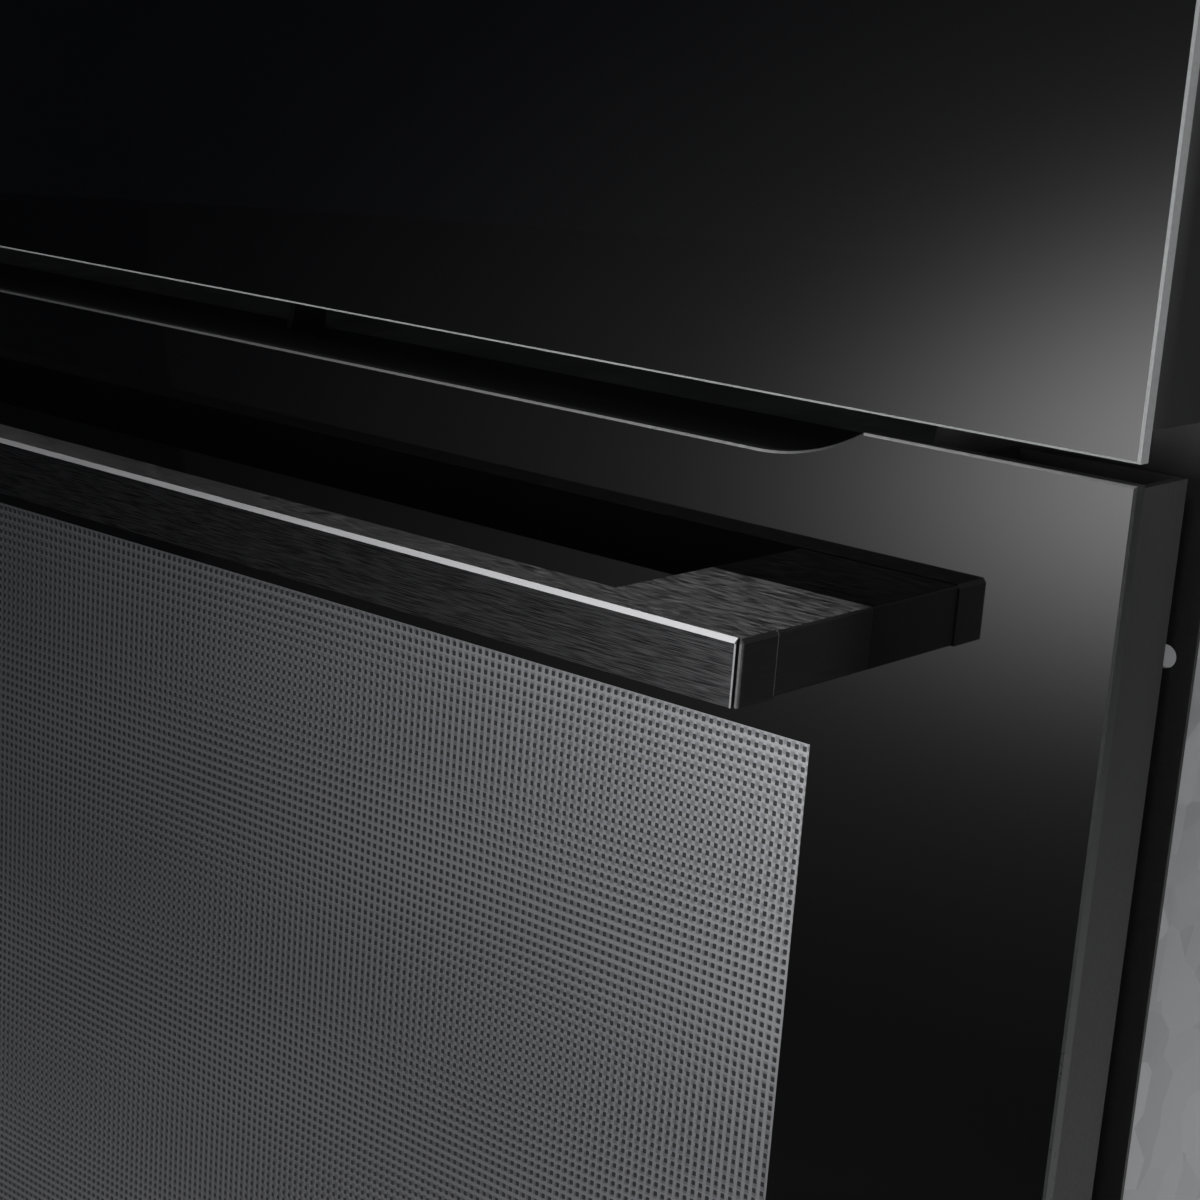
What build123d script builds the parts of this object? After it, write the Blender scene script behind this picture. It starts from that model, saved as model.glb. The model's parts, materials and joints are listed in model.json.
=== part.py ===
from build123d import *
import math
import os

# Built-in electric oven, 60 cm wide, with a drop-down glass door under a black glass fascia.
# Units are millimetres. +Z is up, the door faces -Y, and the origin is the centre of the footprint.
# Depths are measured backwards from the face of the door's outer glass.

os.makedirs("parts", exist_ok=True)

# Door and fascia glass
FRONT_WIDTH = 594.0
GLASS = 4.0
GLASS_ARRIS = 0.5
DOOR_BOTTOM = 10.0
DOOR_HEIGHT = 472.0
FASCIA_GAP = 4.1
FASCIA_HEIGHT = 108.0
SCOOP_END_INSET = 60.7
SCOOP_DEPTH = 7.5
SCOOP_END_RADIUS = 48.0

# Window in the door
WINDOW_SIDE = 66.0
WINDOW_BELOW_TOP = 66.8
WINDOW_ABOVE_BOTTOM = 80.2
SCREEN = 0.6

# Bar handle
HANDLE_END_INSET = 53.8
HANDLE_REACH = 45.0
BAR_BELOW_TOP = 34.5
BAR_HEIGHT = 13.6
BAR_DEPTH = 12.0
BAR_CHAMFER = 1.0
BAR_END_ROUND = 1.3
POST_WIDTH = 41.5
POST_INSET = 0.15
HANDLE_SEAM = 0.3
HANDLE_SCREW = 5.0
HANDLE_SCREW_SPACING = 24.0
HANDLE_SCREW_GRIP = 14.0

# Door inside
COLUMN_WIDTH = 39.0
COLUMN_DEPTH = 30.0
COLUMN_WALL = 2.0
COLUMN_SIDE_INSET = 6.0
COLUMN_END_INSET = 3.0
TRIM_WALL = 2.0
BOTTOM_TRIM_HEIGHT = 30.0
TOP_TRIM_HEIGHT = 16.0
TOP_TRIM_BELOW_SCOOP = 4.0
GLASS_POCKET = 10.0
PAD = 1.5
PAD_LENGTH = 30.0
MIDDLE_GLASS_DEPTH = 18.0
INNER_GLASS_DEPTH = 34.0

# Door hinge
HINGE_INSET = 16.0
PIVOT_DEPTH = 22.0
PIVOT_HEIGHT = 24.0
DOOR_SWING = math.radians(90.0)
PIN_RADIUS = 3.5
PIN_HEAD_RADIUS = 5.5
PIN_HEAD = 1.2
ARM_THICKNESS = 6.0
ARM_EYE = 7.2
ARM_RISE = 6.0
ARM_DROP = 7.0
ARM_TAIL = 40.0
ARM_NOTCH = 3.0
CAM_START = 11.75
CAM_LEAD = 5.0
CAM_RUN_IN = -0.3
CAM_RUN_OUT = 0.05
FOLLOWER_RADIUS = 4.0
CHANNEL_GAP = 15.0
CHANNEL_WALL = 2.0
CHANNEL_LENGTH = 140.0
ROD_RADIUS = 2.5
ROD_COLLAR = 6.5
ROD_COLLAR_THICKNESS = 3.0
ROD_COLLAR_RISE = 22.0
SPRING_LENGTH = 66.0
SPRING_RADIUS = 6.0
SPRING_WIRE = 2.0

# Carcass
BODY_SIDE_INSET = 19.0
BODY_TOP_INSET = 14.1
BODY_DEPTH = 521.0
SHEET = 1.0
FLANGE = 16.0
FRAME_DEPTH = 44.0
FRAME_SHEET = 1.2
FRAME_SIDE_INSET = 4.0
FRAME_BOTTOM = 42.0
FRAME_TOP_LIP = 8.0
RAIL_SETBACK = 8.0
RAIL_SHEET = 1.5
RAIL_HEIGHT = 46.0
FIXING_HOLE = 5.0
FIXING_EDGE = 6.5
FIXING_SPACING_Z = 320.0
FIXING_LOW = 120.0
SCREW_RADIUS = 1.7
SCREW_HEAD_RADIUS = 3.6
SCREW_HEAD = 1.8
SCREW_GRIP = 6.0

# Cooking cavity
CAVITY_SIDE_SPACE = 38.0
CAVITY_REAR_SPACE = 111.0
CAVITY_FLOOR = 92.0
CAVITY_CORNER = 20.0
CAVITY_WALL = 1.2
CAVITY_FLANGE = 12.0
GASKET_OFFSET = 2.0
GASKET_WIDTH = 8.0
GASKET_BEVEL = 2.5
WOOL = 29.0
WOOL_ROOF = 25.0
WOOL_FLOOR_SPACE = 12.0

# Convection fan and heaters
TUBE_RADIUS = 3.25
TUBE_TAIL = 36.0
TUBE_PLATE = 1.5
FAN_RADIUS = 70.0
FAN_BLADES = 12
FAN_BLADE_ROOT = 40.0
FAN_BLADE_HEIGHT = 22.0
FAN_BLADE_LEAN = 25.0
FAN_SHEET = 1.2
FAN_HUB = 9.0
FAN_SHAFT = 3.0
RING_RADIUS = 92.0
RING_OPEN_ANGLE = math.radians(16.0)
RING_BEND = 13.0
BAFFLE_SIDE_SPACE = 40.0
BAFFLE_END_SPACE = 29.5
BAFFLE_DEPTH = 40.0
BAFFLE_CORNER = 30.0
BAFFLE_FLANGE = 6.0
BAFFLE_SLOTS = 20
BAFFLE_SLOT_WIDTH = 4.0
BAFFLE_SLOT_INNER = 22.0
BAFFLE_SLOT_OUTER = 64.0
MOTOR_RADIUS = 34.0
MOTOR_LENGTH = 46.0
MOTOR_LEG_RADIUS = 4.0
MOTOR_PLATE_MARGIN = 3.0
MOTOR_LEG_CIRCLE = 42.0
MOTOR_LEG_LENGTH = 34.0
GRILL_BELOW_CEILING = 17.0
GRILL_WIDTH = 300.0
GRILL_FRONT_SPACE = 55.0
GRILL_LOOP_WIDTH = 100.0
GRILL_LOOP_LENGTH = 235.0
TUBE_BEND = 26.0
BASE_HEATER_WIDTH = 260.0
BASE_HEATER_FRONT_SPACE = 75.0
BASE_HEATER_BEND = 90.0
LAMP_SIDE_SPACE = 40.0
LAMP_REACH = 255.0
LAMP_RADIUS = 22.0
LAMP_FLANGE = 4.0
LAMP_DROP = 12.0
LAMP_HOLDER_HEIGHT = 22.0
LAMP_GLASS = 2.0
LAMP_SEAT = 3.0
LAMP_BEVEL = 5.0
BULB_RADIUS = 6.0
PROBE_SIDE_SPACE = 35.0
PROBE_RADIUS = 2.0
PROBE_REACH = 70.0

# Shelf rails, shelf and tray
WIRE_RADIUS = 2.5
RAIL_LEVELS = 4
RAIL_FIRST_LEVEL = 52.0
RAIL_TOP_SPACE = 77.0
RAIL_PAIR = 19.0
RAIL_BACK_SPACE = 30.0
RAIL_FRONT_SPACE = 20.0
RAIL_POST_INSET = 30.0
WELD = 0.4
SHELF_LEVEL = 2
SHELF_BACK_SPACE = 4.0
SHELF_SIDE_PLAY = 1.5
SHELF_CORNER = 18.0
SHELF_FRAME_RADIUS = 3.0
SHELF_BARS = 11
SHELF_BAR_RADIUS = 1.8
TRAY_LEVEL = 0
TRAY_BACK_SPACE = 10.0
TRAY_HEIGHT = 30.0
TRAY_WALL = 1.0
TRAY_RIM = 9.0
TRAY_CORNER = 24.0

# Cooling air and electrics
DECK_SPACE = 0.5
DECK_BACK_SPACE = 15.0
DUCT_SIDE_SPACE = 49.0
DUCT_BELOW_FASCIA = 0.1
DUCT_HEIGHT = 22.0
DUCT_LENGTH = 255.0
VENT_INSET = 2.0
VENT_RIBS = 3
VENT_RIB_END = 14.0
VENT_RIB_SETBACK = 19.0
VENT_RIB = 2.0
BLOWER_LENGTH = 200.0
BLOWER_RADIUS = 36.0
BLOWER_REACH = 52.0
BLOWER_LIP = 4.0
WHEEL_RADIUS = 28.0
WHEEL_BLADES = 16
WHEEL_BLADE_CHORD = 9.0
WHEEL_SHAFT = 3.0
BLOWER_MOTOR_LENGTH = 44.0
BLOWER_MOTOR_SIZE = 54.0
CARRIER_SIDE_INSET = 9.0
CARRIER_INSET = 3.0
CARRIER_WALL = 2.0
CONTROL_WIDTH = 480.0
CONTROL_HEIGHT = 74.0
DISPLAY_WIDTH = 150.0
DISPLAY_HEIGHT = 48.0
DISPLAY_DEPTH = 9.0
BOARD = 1.6
BOARD_STANDOFF = 12.0
BOARD_POST_RADIUS = 3.0
CONTROL_BOARD_WIDTH = 280.0
CONTROL_BOARD_HEIGHT = 70.0
POWER_BOARD_WIDTH = 190.0
POWER_BOARD_DEPTH = 100.0
POWER_BOARD_SIDE_SPACE = 118.0
POWER_BOARD_BACK_SPACE = 81.0
TERMINAL_WIDTH = 70.0
TERMINAL_HEIGHT = 40.0
TERMINAL_DEPTH = 26.0
TERMINAL_SIDE_SPACE = 108.0
TERMINAL_RISE = 45.0
TERMINAL_LIP = 4.0
VENT_SLOT_WIDTH = 4.0
VENT_SLOT_LENGTH = 60.0
VENT_SLOT_PITCH = 12.0
VENT_SLOT_COUNT = 8

# Flats round a drawn wire, a small post or shank, and a drum such as the lamp, the fan or its motor
WIRE_SIDES = 6
POST_SIDES = 8
DRUM_SIDES = 24

# Clearances
FREE = 0.3
RUNNING = 0.05
SLIP = 0.1
HOLE = 0.4

# Places worked out from the sizes above
OVEN_DEPTH = FRAME_DEPTH + FRAME_SHEET + BODY_DEPTH + SCREW_HEAD
GLASS_FACE = HANDLE_REACH - (HANDLE_REACH + OVEN_DEPTH) / 2
DOOR_TOP = DOOR_BOTTOM + DOOR_HEIGHT
SCOOP_WIDTH = FRONT_WIDTH - 2 * SCOOP_END_INSET
SCOOP_EDGE = DOOR_TOP - SCOOP_DEPTH
FASCIA_BOTTOM = DOOR_TOP + FASCIA_GAP
FASCIA_TOP = FASCIA_BOTTOM + FASCIA_HEIGHT
WINDOW_WIDTH = FRONT_WIDTH - 2 * WINDOW_SIDE
WINDOW_HEIGHT = DOOR_HEIGHT - WINDOW_BELOW_TOP - WINDOW_ABOVE_BOTTOM
WINDOW_TOP = DOOR_TOP - WINDOW_BELOW_TOP
HANDLE_LENGTH = FRONT_WIDTH - 2 * HANDLE_END_INSET
BAR_TOP = DOOR_TOP - BAR_BELOW_TOP
BAR_MIDDLE = BAR_TOP - BAR_HEIGHT / 2
POST_X = HANDLE_LENGTH / 2 - POST_WIDTH / 2
COLUMN_OUT = FRONT_WIDTH / 2 - COLUMN_SIDE_INSET
COLUMN_IN = COLUMN_OUT - COLUMN_WIDTH
HINGE_X = COLUMN_IN + HINGE_INSET
COLUMN_LOW = DOOR_BOTTOM + COLUMN_END_INSET
COLUMN_HIGH = DOOR_TOP - COLUMN_END_INSET
COLUMN_BACK = GLASS + COLUMN_DEPTH
TRIM_HALF = COLUMN_IN - FREE
TOP_TRIM_TOP = SCOOP_EDGE - TOP_TRIM_BELOW_SCOOP
BOTTOM_TRIM_TOP = COLUMN_LOW + BOTTOM_TRIM_HEIGHT
PANE_LOW = BOTTOM_TRIM_TOP + PAD
PANE_HIGH = TOP_TRIM_TOP - TRIM_WALL - FREE
INNER_GLASS_BACK = INNER_GLASS_DEPTH + GLASS
TRIM_BACK = INNER_GLASS_BACK + FREE + TRIM_WALL
BODY_WIDTH = FRONT_WIDTH - 2 * BODY_SIDE_INSET
BODY_HEIGHT = FASCIA_TOP - BODY_TOP_INSET
FRAME_WIDTH = FRONT_WIDTH - 2 * FRAME_SIDE_INSET
FRAME_TOP = BODY_HEIGHT + FRAME_TOP_LIP
FRAME_BACK = FRAME_DEPTH + FRAME_SHEET
FIXING_SPACING_X = FRAME_WIDTH - 2 * FIXING_EDGE
RAIL_FACE = FRAME_DEPTH + RAIL_SETBACK
RAIL_BACK = RAIL_FACE + RAIL_SHEET
BODY_BACK = FRAME_BACK + BODY_DEPTH
SIDE_IN = BODY_WIDTH / 2 - SHEET
DUCT_TOP = FASCIA_BOTTOM - DUCT_BELOW_FASCIA
DECK_TOP = DUCT_TOP - DUCT_HEIGHT + SHEET
DECK_DEPTH = BODY_DEPTH - DECK_BACK_SPACE
DUCT_WIDTH = BODY_WIDTH - 2 * DUCT_SIDE_SPACE
WOOL_TOP = DECK_TOP - SHEET - DECK_SPACE
CAVITY_WIDTH = BODY_WIDTH - 2 * CAVITY_SIDE_SPACE
CAVITY_DEPTH = BODY_DEPTH - CAVITY_REAR_SPACE
CAVITY_CEILING = WOOL_TOP - WOOL_ROOF - FREE - CAVITY_WALL
CAVITY_HEIGHT = CAVITY_CEILING - CAVITY_FLOOR
CAVITY_MIDDLE = CAVITY_FLOOR + CAVITY_HEIGHT / 2
CAVITY_REAR = FRAME_BACK + CAVITY_DEPTH
CAVITY_REAR_BACK = CAVITY_REAR + CAVITY_WALL
BAFFLE_WIDTH = CAVITY_WIDTH - 2 * BAFFLE_SIDE_SPACE
BAFFLE_HEIGHT = CAVITY_HEIGHT - 2 * BAFFLE_END_SPACE
BAFFLE_FACE = CAVITY_REAR - BAFFLE_DEPTH
LAMP_X = CAVITY_WIDTH / 2 - LAMP_SIDE_SPACE
PROBE_X = PROBE_SIDE_SPACE - CAVITY_WIDTH / 2
GRILL_Z = CAVITY_CEILING - GRILL_BELOW_CEILING
BASE_HEATER_Z = CAVITY_FLOOR - CAVITY_WALL - FREE - TUBE_RADIUS
RAIL_LEVEL_PITCH = (CAVITY_HEIGHT - RAIL_FIRST_LEVEL - RAIL_TOP_SPACE) / (RAIL_LEVELS - 1)
RAIL_LENGTH = CAVITY_DEPTH - RAIL_FRONT_SPACE - RAIL_BACK_SPACE
SHELF_ROOM = CAVITY_DEPTH - BAFFLE_DEPTH - RAIL_FRONT_SPACE
SHELF_DEPTH = SHELF_ROOM - 2 * SHELF_FRAME_RADIUS - SHELF_BACK_SPACE
TRAY_DEPTH = SHELF_ROOM - TRAY_BACK_SPACE
VENT_RIB_PITCH = (DUCT_WIDTH - 2 * VENT_RIB_END) / (VENT_RIBS - 1)
CARRIER_WIDTH = FRONT_WIDTH - 2 * CARRIER_SIDE_INSET
POWER_BOARD_X = POWER_BOARD_SIDE_SPACE - BODY_WIDTH / 2
POWER_BOARD_REACH = BODY_DEPTH - POWER_BOARD_BACK_SPACE
TERMINAL_X = BODY_WIDTH / 2 - TERMINAL_SIDE_SPACE
TERMINAL_Z = DECK_TOP + TERMINAL_RISE
BLOWER_DEPTH = FRAME_BACK + DUCT_LENGTH + BLOWER_REACH
BLOWER_Z = DECK_TOP + SHEET + BLOWER_RADIUS
CAM_TRAVEL = CAM_LEAD * DOOR_SWING
FOLLOWER_Z = PIVOT_HEIGHT + CAM_START
COLLAR_Z = FOLLOWER_Z + ROD_COLLAR_RISE
SPRING_LOW = COLLAR_Z + ROD_COLLAR_THICKNESS + FREE
SPRING_PLATE = SPRING_LOW + SPRING_LENGTH + FREE
WIRE_FLAT = WIRE_RADIUS * math.cos(math.pi / WIRE_SIDES)
SHELF_WIRE_X = CAVITY_WIDTH / 2 - FREE - 3 * WIRE_FLAT + WELD


def y(depth):
    """Model Y of a depth behind the glass face."""
    return GLASS_FACE + depth


def block(xs, depths, zs):
    """A rectangular solid between pairs of X, depth and Z."""
    centre = Pos(sum(xs) / 2, y(sum(depths) / 2), sum(zs) / 2)
    return centre * Box(xs[1] - xs[0], depths[1] - depths[0], zs[1] - zs[0])


def along_x(face, x0, x1):
    """Extrude a face drawn in (Y, Z) from x0 to x1."""
    return extrude(Plane.YZ.offset(x0) * face, amount=x1 - x0)


def along_y(face, near, far):
    """Extrude a face drawn in (X, Z) from one depth to another."""
    return extrude(Plane.XZ.offset(-y(near)) * face, amount=near - far)


def along_z(face, z0, z1):
    """Extrude a face drawn in (X, Y) from z0 to z1."""
    return extrude(Plane.XY.offset(z0) * face, amount=z1 - z0)


def rod_x(x0, x1, depth, z, radius):
    return along_x(Pos(y(depth), z) * Circle(radius), x0, x1)


def rod_y(x, near, far, z, radius):
    return along_y(Pos(x, z) * Circle(radius), near, far)


def wire_face(radius):
    """Section of a drawn wire: corners on a circle of this radius, two of them up and down."""
    return RegularPolygon(radius, WIRE_SIDES, rotation=180 / WIRE_SIDES)


def hole_face(radius, sides):
    """A cut that clears a round of this radius: its flats touch the circle from outside."""
    return RegularPolygon(radius, sides, major_radius=False, rotation=180 / sides)


def wire_y(x, near, far, z, radius):
    return along_y(Pos(x, z) * wire_face(radius), near, far)


def wire_z(x, depth, z0, z1, radius):
    return along_z(Pos(x, y(depth)) * wire_face(radius), z0, z1)


def hole_y(x, near, far, z, radius, sides=WIRE_SIDES):
    return along_y(Pos(x, z) * hole_face(radius, sides), near, far)


def hole_z(x, depth, z0, z1, radius, sides=WIRE_SIDES):
    return along_z(Pos(x, y(depth)) * hole_face(radius, sides), z0, z1)


def drum_x(x0, x1, depth, z, radius):
    return along_x(Pos(y(depth), z) * RegularPolygon(radius, DRUM_SIDES), x0, x1)


def drum_y(near, far, z, radius):
    return along_y(Pos(0, z) * RegularPolygon(radius, DRUM_SIDES), near, far)


def post_y(x, near, far, z, radius):
    return along_y(Pos(x, z) * RegularPolygon(radius, POST_SIDES), near, far)


def post_x(x0, x1, depth, z, radius):
    return along_x(Pos(y(depth), z) * RegularPolygon(radius, POST_SIDES), x0, x1)


def post_z(x, depth, z0, z1, radius):
    return along_z(Pos(x, y(depth)) * RegularPolygon(radius, POST_SIDES), z0, z1)


def outline(points):
    """A face bounded by straight runs."""
    return make_face(Polyline(*points, close=True))


def tube(path, radius):
    """A wire swept along a path."""
    start = Plane(origin=path @ 0, z_dir=path % 0)
    return sweep(start * wire_face(radius), path=path)


def save(name, *solids):
    """Write one node, which may be a group of separate solids."""
    shape = solids[0] if len(solids) == 1 else Compound(children=list(solids))
    export_step(shape, "parts/" + name + ".step")


def save_pair(name, right):
    """Write the right-hand piece and its mirror image."""
    save(name + "_right", right)
    save(name + "_left", mirror(right, about=Plane.YZ))


def slots(count, pitch, width, length, horizontal=False):
    """Faces of a row of straight slots about the origin."""
    size = (length, width) if horizontal else (width, length)
    faces = Sketch()
    for i in range(count):
        shift = (i - (count - 1) / 2) * pitch
        place = Pos(0, shift) if horizontal else Pos(shift, 0)
        faces += place * Rectangle(*size)
    return faces


# Door glass
def scoop_face():
    """The shallow dip in the door's top edge, with an arc at each end that meets the edge at a corner."""
    half = SCOOP_WIDTH / 2
    run = math.sqrt(SCOOP_END_RADIUS**2 - (SCOOP_END_RADIUS - SCOOP_DEPTH) ** 2)
    turn = math.atan2(run, SCOOP_END_RADIUS - SCOOP_DEPTH) / 2
    bow_x = half - run + SCOOP_END_RADIUS * math.sin(turn)
    bow_z = SCOOP_EDGE + SCOOP_END_RADIUS * (1 - math.cos(turn))
    edges = [
        Line((half - run, SCOOP_EDGE), (run - half, SCOOP_EDGE)),
        ThreePointArc((run - half, SCOOP_EDGE), (-bow_x, bow_z), (-half, DOOR_TOP)),
        Line((-half, DOOR_TOP), (half, DOOR_TOP)),
        ThreePointArc((half, DOOR_TOP), (bow_x, bow_z), (half - run, SCOOP_EDGE)),
    ]
    return make_face(edges)


def handle_screw_places():
    places = []
    for side in (-1, 1):
        for step in (-0.5, 0.5):
            places.append(side * POST_X + step * HANDLE_SCREW_SPACING)
    return places


def polished(pane):
    """Break the long edges of a pane on both faces."""
    faces = pane.faces().sort_by(Axis.Y)
    return chamfer(faces[0].outer_wire().edges() + faces[-1].outer_wire().edges(), GLASS_ARRIS)


def pane(width, low, high, depth):
    face = Pos(0, (low + high) / 2) * Rectangle(width, high - low)
    return along_y(face, depth, depth + GLASS)


outer_face = Pos(0, DOOR_BOTTOM + DOOR_HEIGHT / 2) * Rectangle(FRONT_WIDTH, DOOR_HEIGHT)
outer_glass = polished(along_y(outer_face - scoop_face(), 0, GLASS))
for x in handle_screw_places():
    outer_glass -= hole_y(x, -1, GLASS + 1, BAR_MIDDLE, HANDLE_SCREW / 2 + HOLE, POST_SIDES)
save("door_glass_outer", outer_glass)

screen_face = Pos(0, WINDOW_TOP - WINDOW_HEIGHT / 2) * Rectangle(WINDOW_WIDTH, WINDOW_HEIGHT)
save("window_screen", along_y(screen_face, GLASS, GLASS + SCREEN))
save("door_glass_middle", polished(pane(2 * TRIM_HALF, PANE_LOW, PANE_HIGH, MIDDLE_GLASS_DEPTH)))
save("door_glass_inner", polished(pane(2 * TRIM_HALF, PANE_LOW, PANE_HIGH, INNER_GLASS_DEPTH)))


# Handle
def handle_bar():
    front = -HANDLE_REACH
    face = Pos(0, BAR_MIDDLE) * Rectangle(HANDLE_LENGTH, BAR_HEIGHT)
    bar = along_y(face, front, front + BAR_DEPTH)
    ends = bar.edges().filter_by(Axis.Z).group_by(Axis.Y)[0]
    bar = fillet(ends, BAR_END_ROUND)
    front_edges = bar.edges().filter_by(Axis.X).group_by(Axis.Y)[0]
    return chamfer(front_edges.sort_by(Axis.Z)[-1], BAR_CHAMFER)


def handle_post():
    low = BAR_TOP - BAR_HEIGHT + POST_INSET
    face = Pos(0, (low + BAR_TOP - POST_INSET) / 2) * Rectangle(POST_WIDTH, BAR_HEIGHT - 2 * POST_INSET)
    post = along_y(Pos(POST_X - POST_INSET, 0) * face, BAR_DEPTH - HANDLE_REACH + HANDLE_SEAM, 0)
    post = fillet(post.edges().filter_by(Axis.Y), 2 * POST_INSET)
    for step in (-0.5, 0.5):
        x = POST_X + step * HANDLE_SCREW_SPACING
        post -= hole_y(x, -HANDLE_SCREW_GRIP - 1, 1, BAR_MIDDLE, HANDLE_SCREW / 2 + SLIP, POST_SIDES)
    return post


def handle_screw(x):
    shank = post_y(x, -HANDLE_SCREW_GRIP, GLASS, BAR_MIDDLE, HANDLE_SCREW / 2)
    head = along_y(Pos(x, BAR_MIDDLE) * RegularPolygon(HANDLE_SCREW, 6), GLASS, GLASS + HANDLE_SCREW / 2)
    return shank + head


save("handle_bar", handle_bar())
save_pair("handle_post", handle_post())
save("handle_screws", *[handle_screw(x) for x in handle_screw_places()])


# Door frame behind the glass
def door_column():
    middle = (COLUMN_IN + COLUMN_OUT) / 2
    centre = Pos(middle, y(GLASS + COLUMN_DEPTH / 2))
    section = Rectangle(COLUMN_WIDTH, COLUMN_DEPTH)
    section -= Rectangle(COLUMN_WIDTH - 2 * COLUMN_WALL, COLUMN_DEPTH - 2 * COLUMN_WALL)
    column = along_z(centre * section, COLUMN_LOW, COLUMN_HIGH)
    mouth_top = PIVOT_HEIGHT + ARM_EYE + 2 * COLUMN_WALL
    mouth_half = CHANNEL_GAP / 2
    return column - block(
        (HINGE_X - mouth_half, HINGE_X + mouth_half),
        (COLUMN_BACK - COLUMN_WALL - 1, COLUMN_BACK + 1),
        (COLUMN_LOW - 1, mouth_top),
    )


def top_trim():
    """A cap that holds both inner panes, with a lip behind the inner one."""
    low = TOP_TRIM_TOP - TOP_TRIM_HEIGHT
    under = TOP_TRIM_TOP - TRIM_WALL
    points = [
        (GLASS, low), (GLASS, TOP_TRIM_TOP), (TRIM_BACK, TOP_TRIM_TOP), (TRIM_BACK, low),
        (TRIM_BACK - TRIM_WALL, low), (TRIM_BACK - TRIM_WALL, under),
        (INNER_GLASS_DEPTH - FREE, under), (INNER_GLASS_DEPTH - FREE, low),
        (MIDDLE_GLASS_DEPTH + GLASS + FREE, low), (MIDDLE_GLASS_DEPTH + GLASS + FREE, under),
        (MIDDLE_GLASS_DEPTH - FREE, under), (MIDDLE_GLASS_DEPTH - FREE, low),
        (MIDDLE_GLASS_DEPTH - FREE - TRIM_WALL, low), (MIDDLE_GLASS_DEPTH - FREE - TRIM_WALL, under),
        (GLASS + TRIM_WALL, under), (GLASS + TRIM_WALL, low),
    ]
    return along_x(outline([(y(d), z) for d, z in points]), -TRIM_HALF, TRIM_HALF)


def bottom_trim():
    """A hollow sill under the panes, with a lip behind the inner one."""
    lip = BOTTOM_TRIM_TOP + GLASS_POCKET
    points = [
        (GLASS, COLUMN_LOW), (TRIM_BACK - TRIM_WALL - FREE - GLASS, COLUMN_LOW),
        (TRIM_BACK, BOTTOM_TRIM_TOP - TRIM_WALL), (TRIM_BACK, lip), (TRIM_BACK - TRIM_WALL, lip),
        (TRIM_BACK - TRIM_WALL, BOTTOM_TRIM_TOP), (MIDDLE_GLASS_DEPTH - FREE, BOTTOM_TRIM_TOP),
        (MIDDLE_GLASS_DEPTH - FREE, lip), (MIDDLE_GLASS_DEPTH - FREE - TRIM_WALL, lip),
        (MIDDLE_GLASS_DEPTH - FREE - TRIM_WALL, BOTTOM_TRIM_TOP), (GLASS, BOTTOM_TRIM_TOP),
    ]
    hollow = [
        (GLASS + TRIM_WALL, COLUMN_LOW + TRIM_WALL),
        (INNER_GLASS_DEPTH - TRIM_WALL, COLUMN_LOW + TRIM_WALL),
        (INNER_GLASS_DEPTH, BOTTOM_TRIM_TOP - TRIM_WALL),
        (GLASS + TRIM_WALL, BOTTOM_TRIM_TOP - TRIM_WALL),
    ]
    section = outline([(y(d), z) for d, z in points]) - outline([(y(d), z) for d, z in hollow])
    return along_x(section, -TRIM_HALF, TRIM_HALF)


def glass_pads():
    pads = []
    for depth in (MIDDLE_GLASS_DEPTH, INNER_GLASS_DEPTH):
        for side in (-1, 1):
            x = side * (TRIM_HALF - PAD_LENGTH)
            xs = (x - PAD_LENGTH / 2, x + PAD_LENGTH / 2)
            pads.append(block(xs, (depth, depth + GLASS), (BOTTOM_TRIM_TOP, PANE_LOW)))
    return pads


save_pair("door_profile", door_column())
save("door_top_trim", top_trim())
save("door_bottom_trim", bottom_trim())
save("glass_pads", *glass_pads())


# Counterbalanced hinge: a spiral cam on the fixed arm lifts a sprung rod inside the door
def cam_face():
    """Cam outline, offset from a follower centre that rises evenly with the door's angle."""
    reach = FOLLOWER_RADIUS + FREE
    points = []
    for i in range(9):
        turn = CAM_RUN_IN + i * (DOOR_SWING - CAM_RUN_IN + CAM_RUN_OUT) / 8
        radius = CAM_START + CAM_LEAD * turn
        out = (-math.sin(turn), math.cos(turn))
        across = (-math.cos(turn), -math.sin(turn))
        length = math.hypot(radius, CAM_LEAD)
        normal = [(radius * o - CAM_LEAD * a) / length for o, a in zip(out, across)]
        points.append(tuple(radius * o - reach * n for o, n in zip(out, normal)))
    curve = Spline(*points)
    return make_face([curve, Line(points[-1], (0, 0)), Line((0, 0), points[0])])


def hinge_arm():
    tail = RAIL_BACK + ARM_TAIL - PIVOT_DEPTH
    notch_middle = (RAIL_FACE + RAIL_BACK) / 2 - PIVOT_DEPTH
    bar = Pos(tail / 2, (ARM_RISE - ARM_DROP) / 2) * Rectangle(tail, ARM_RISE + ARM_DROP)
    notch = Pos(notch_middle, -ARM_DROP) * Rectangle(RAIL_SHEET + 2 * FREE, 2 * ARM_NOTCH)
    pivot = Pos(y(PIVOT_DEPTH), PIVOT_HEIGHT)
    plate = pivot * (bar + cam_face() + Circle(ARM_EYE) - notch)
    half = ARM_THICKNESS / 2
    arm = along_x(plate, HINGE_X - half, HINGE_X + half)
    boss = CHANNEL_GAP / 2 - FREE
    arm += post_x(HINGE_X - boss, HINGE_X + boss, PIVOT_DEPTH, PIVOT_HEIGHT, PIN_RADIUS + CHANNEL_WALL)
    return arm - rod_x(HINGE_X - boss - 1, HINGE_X + boss + 1, PIVOT_DEPTH, PIVOT_HEIGHT, PIN_RADIUS + RUNNING)


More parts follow.
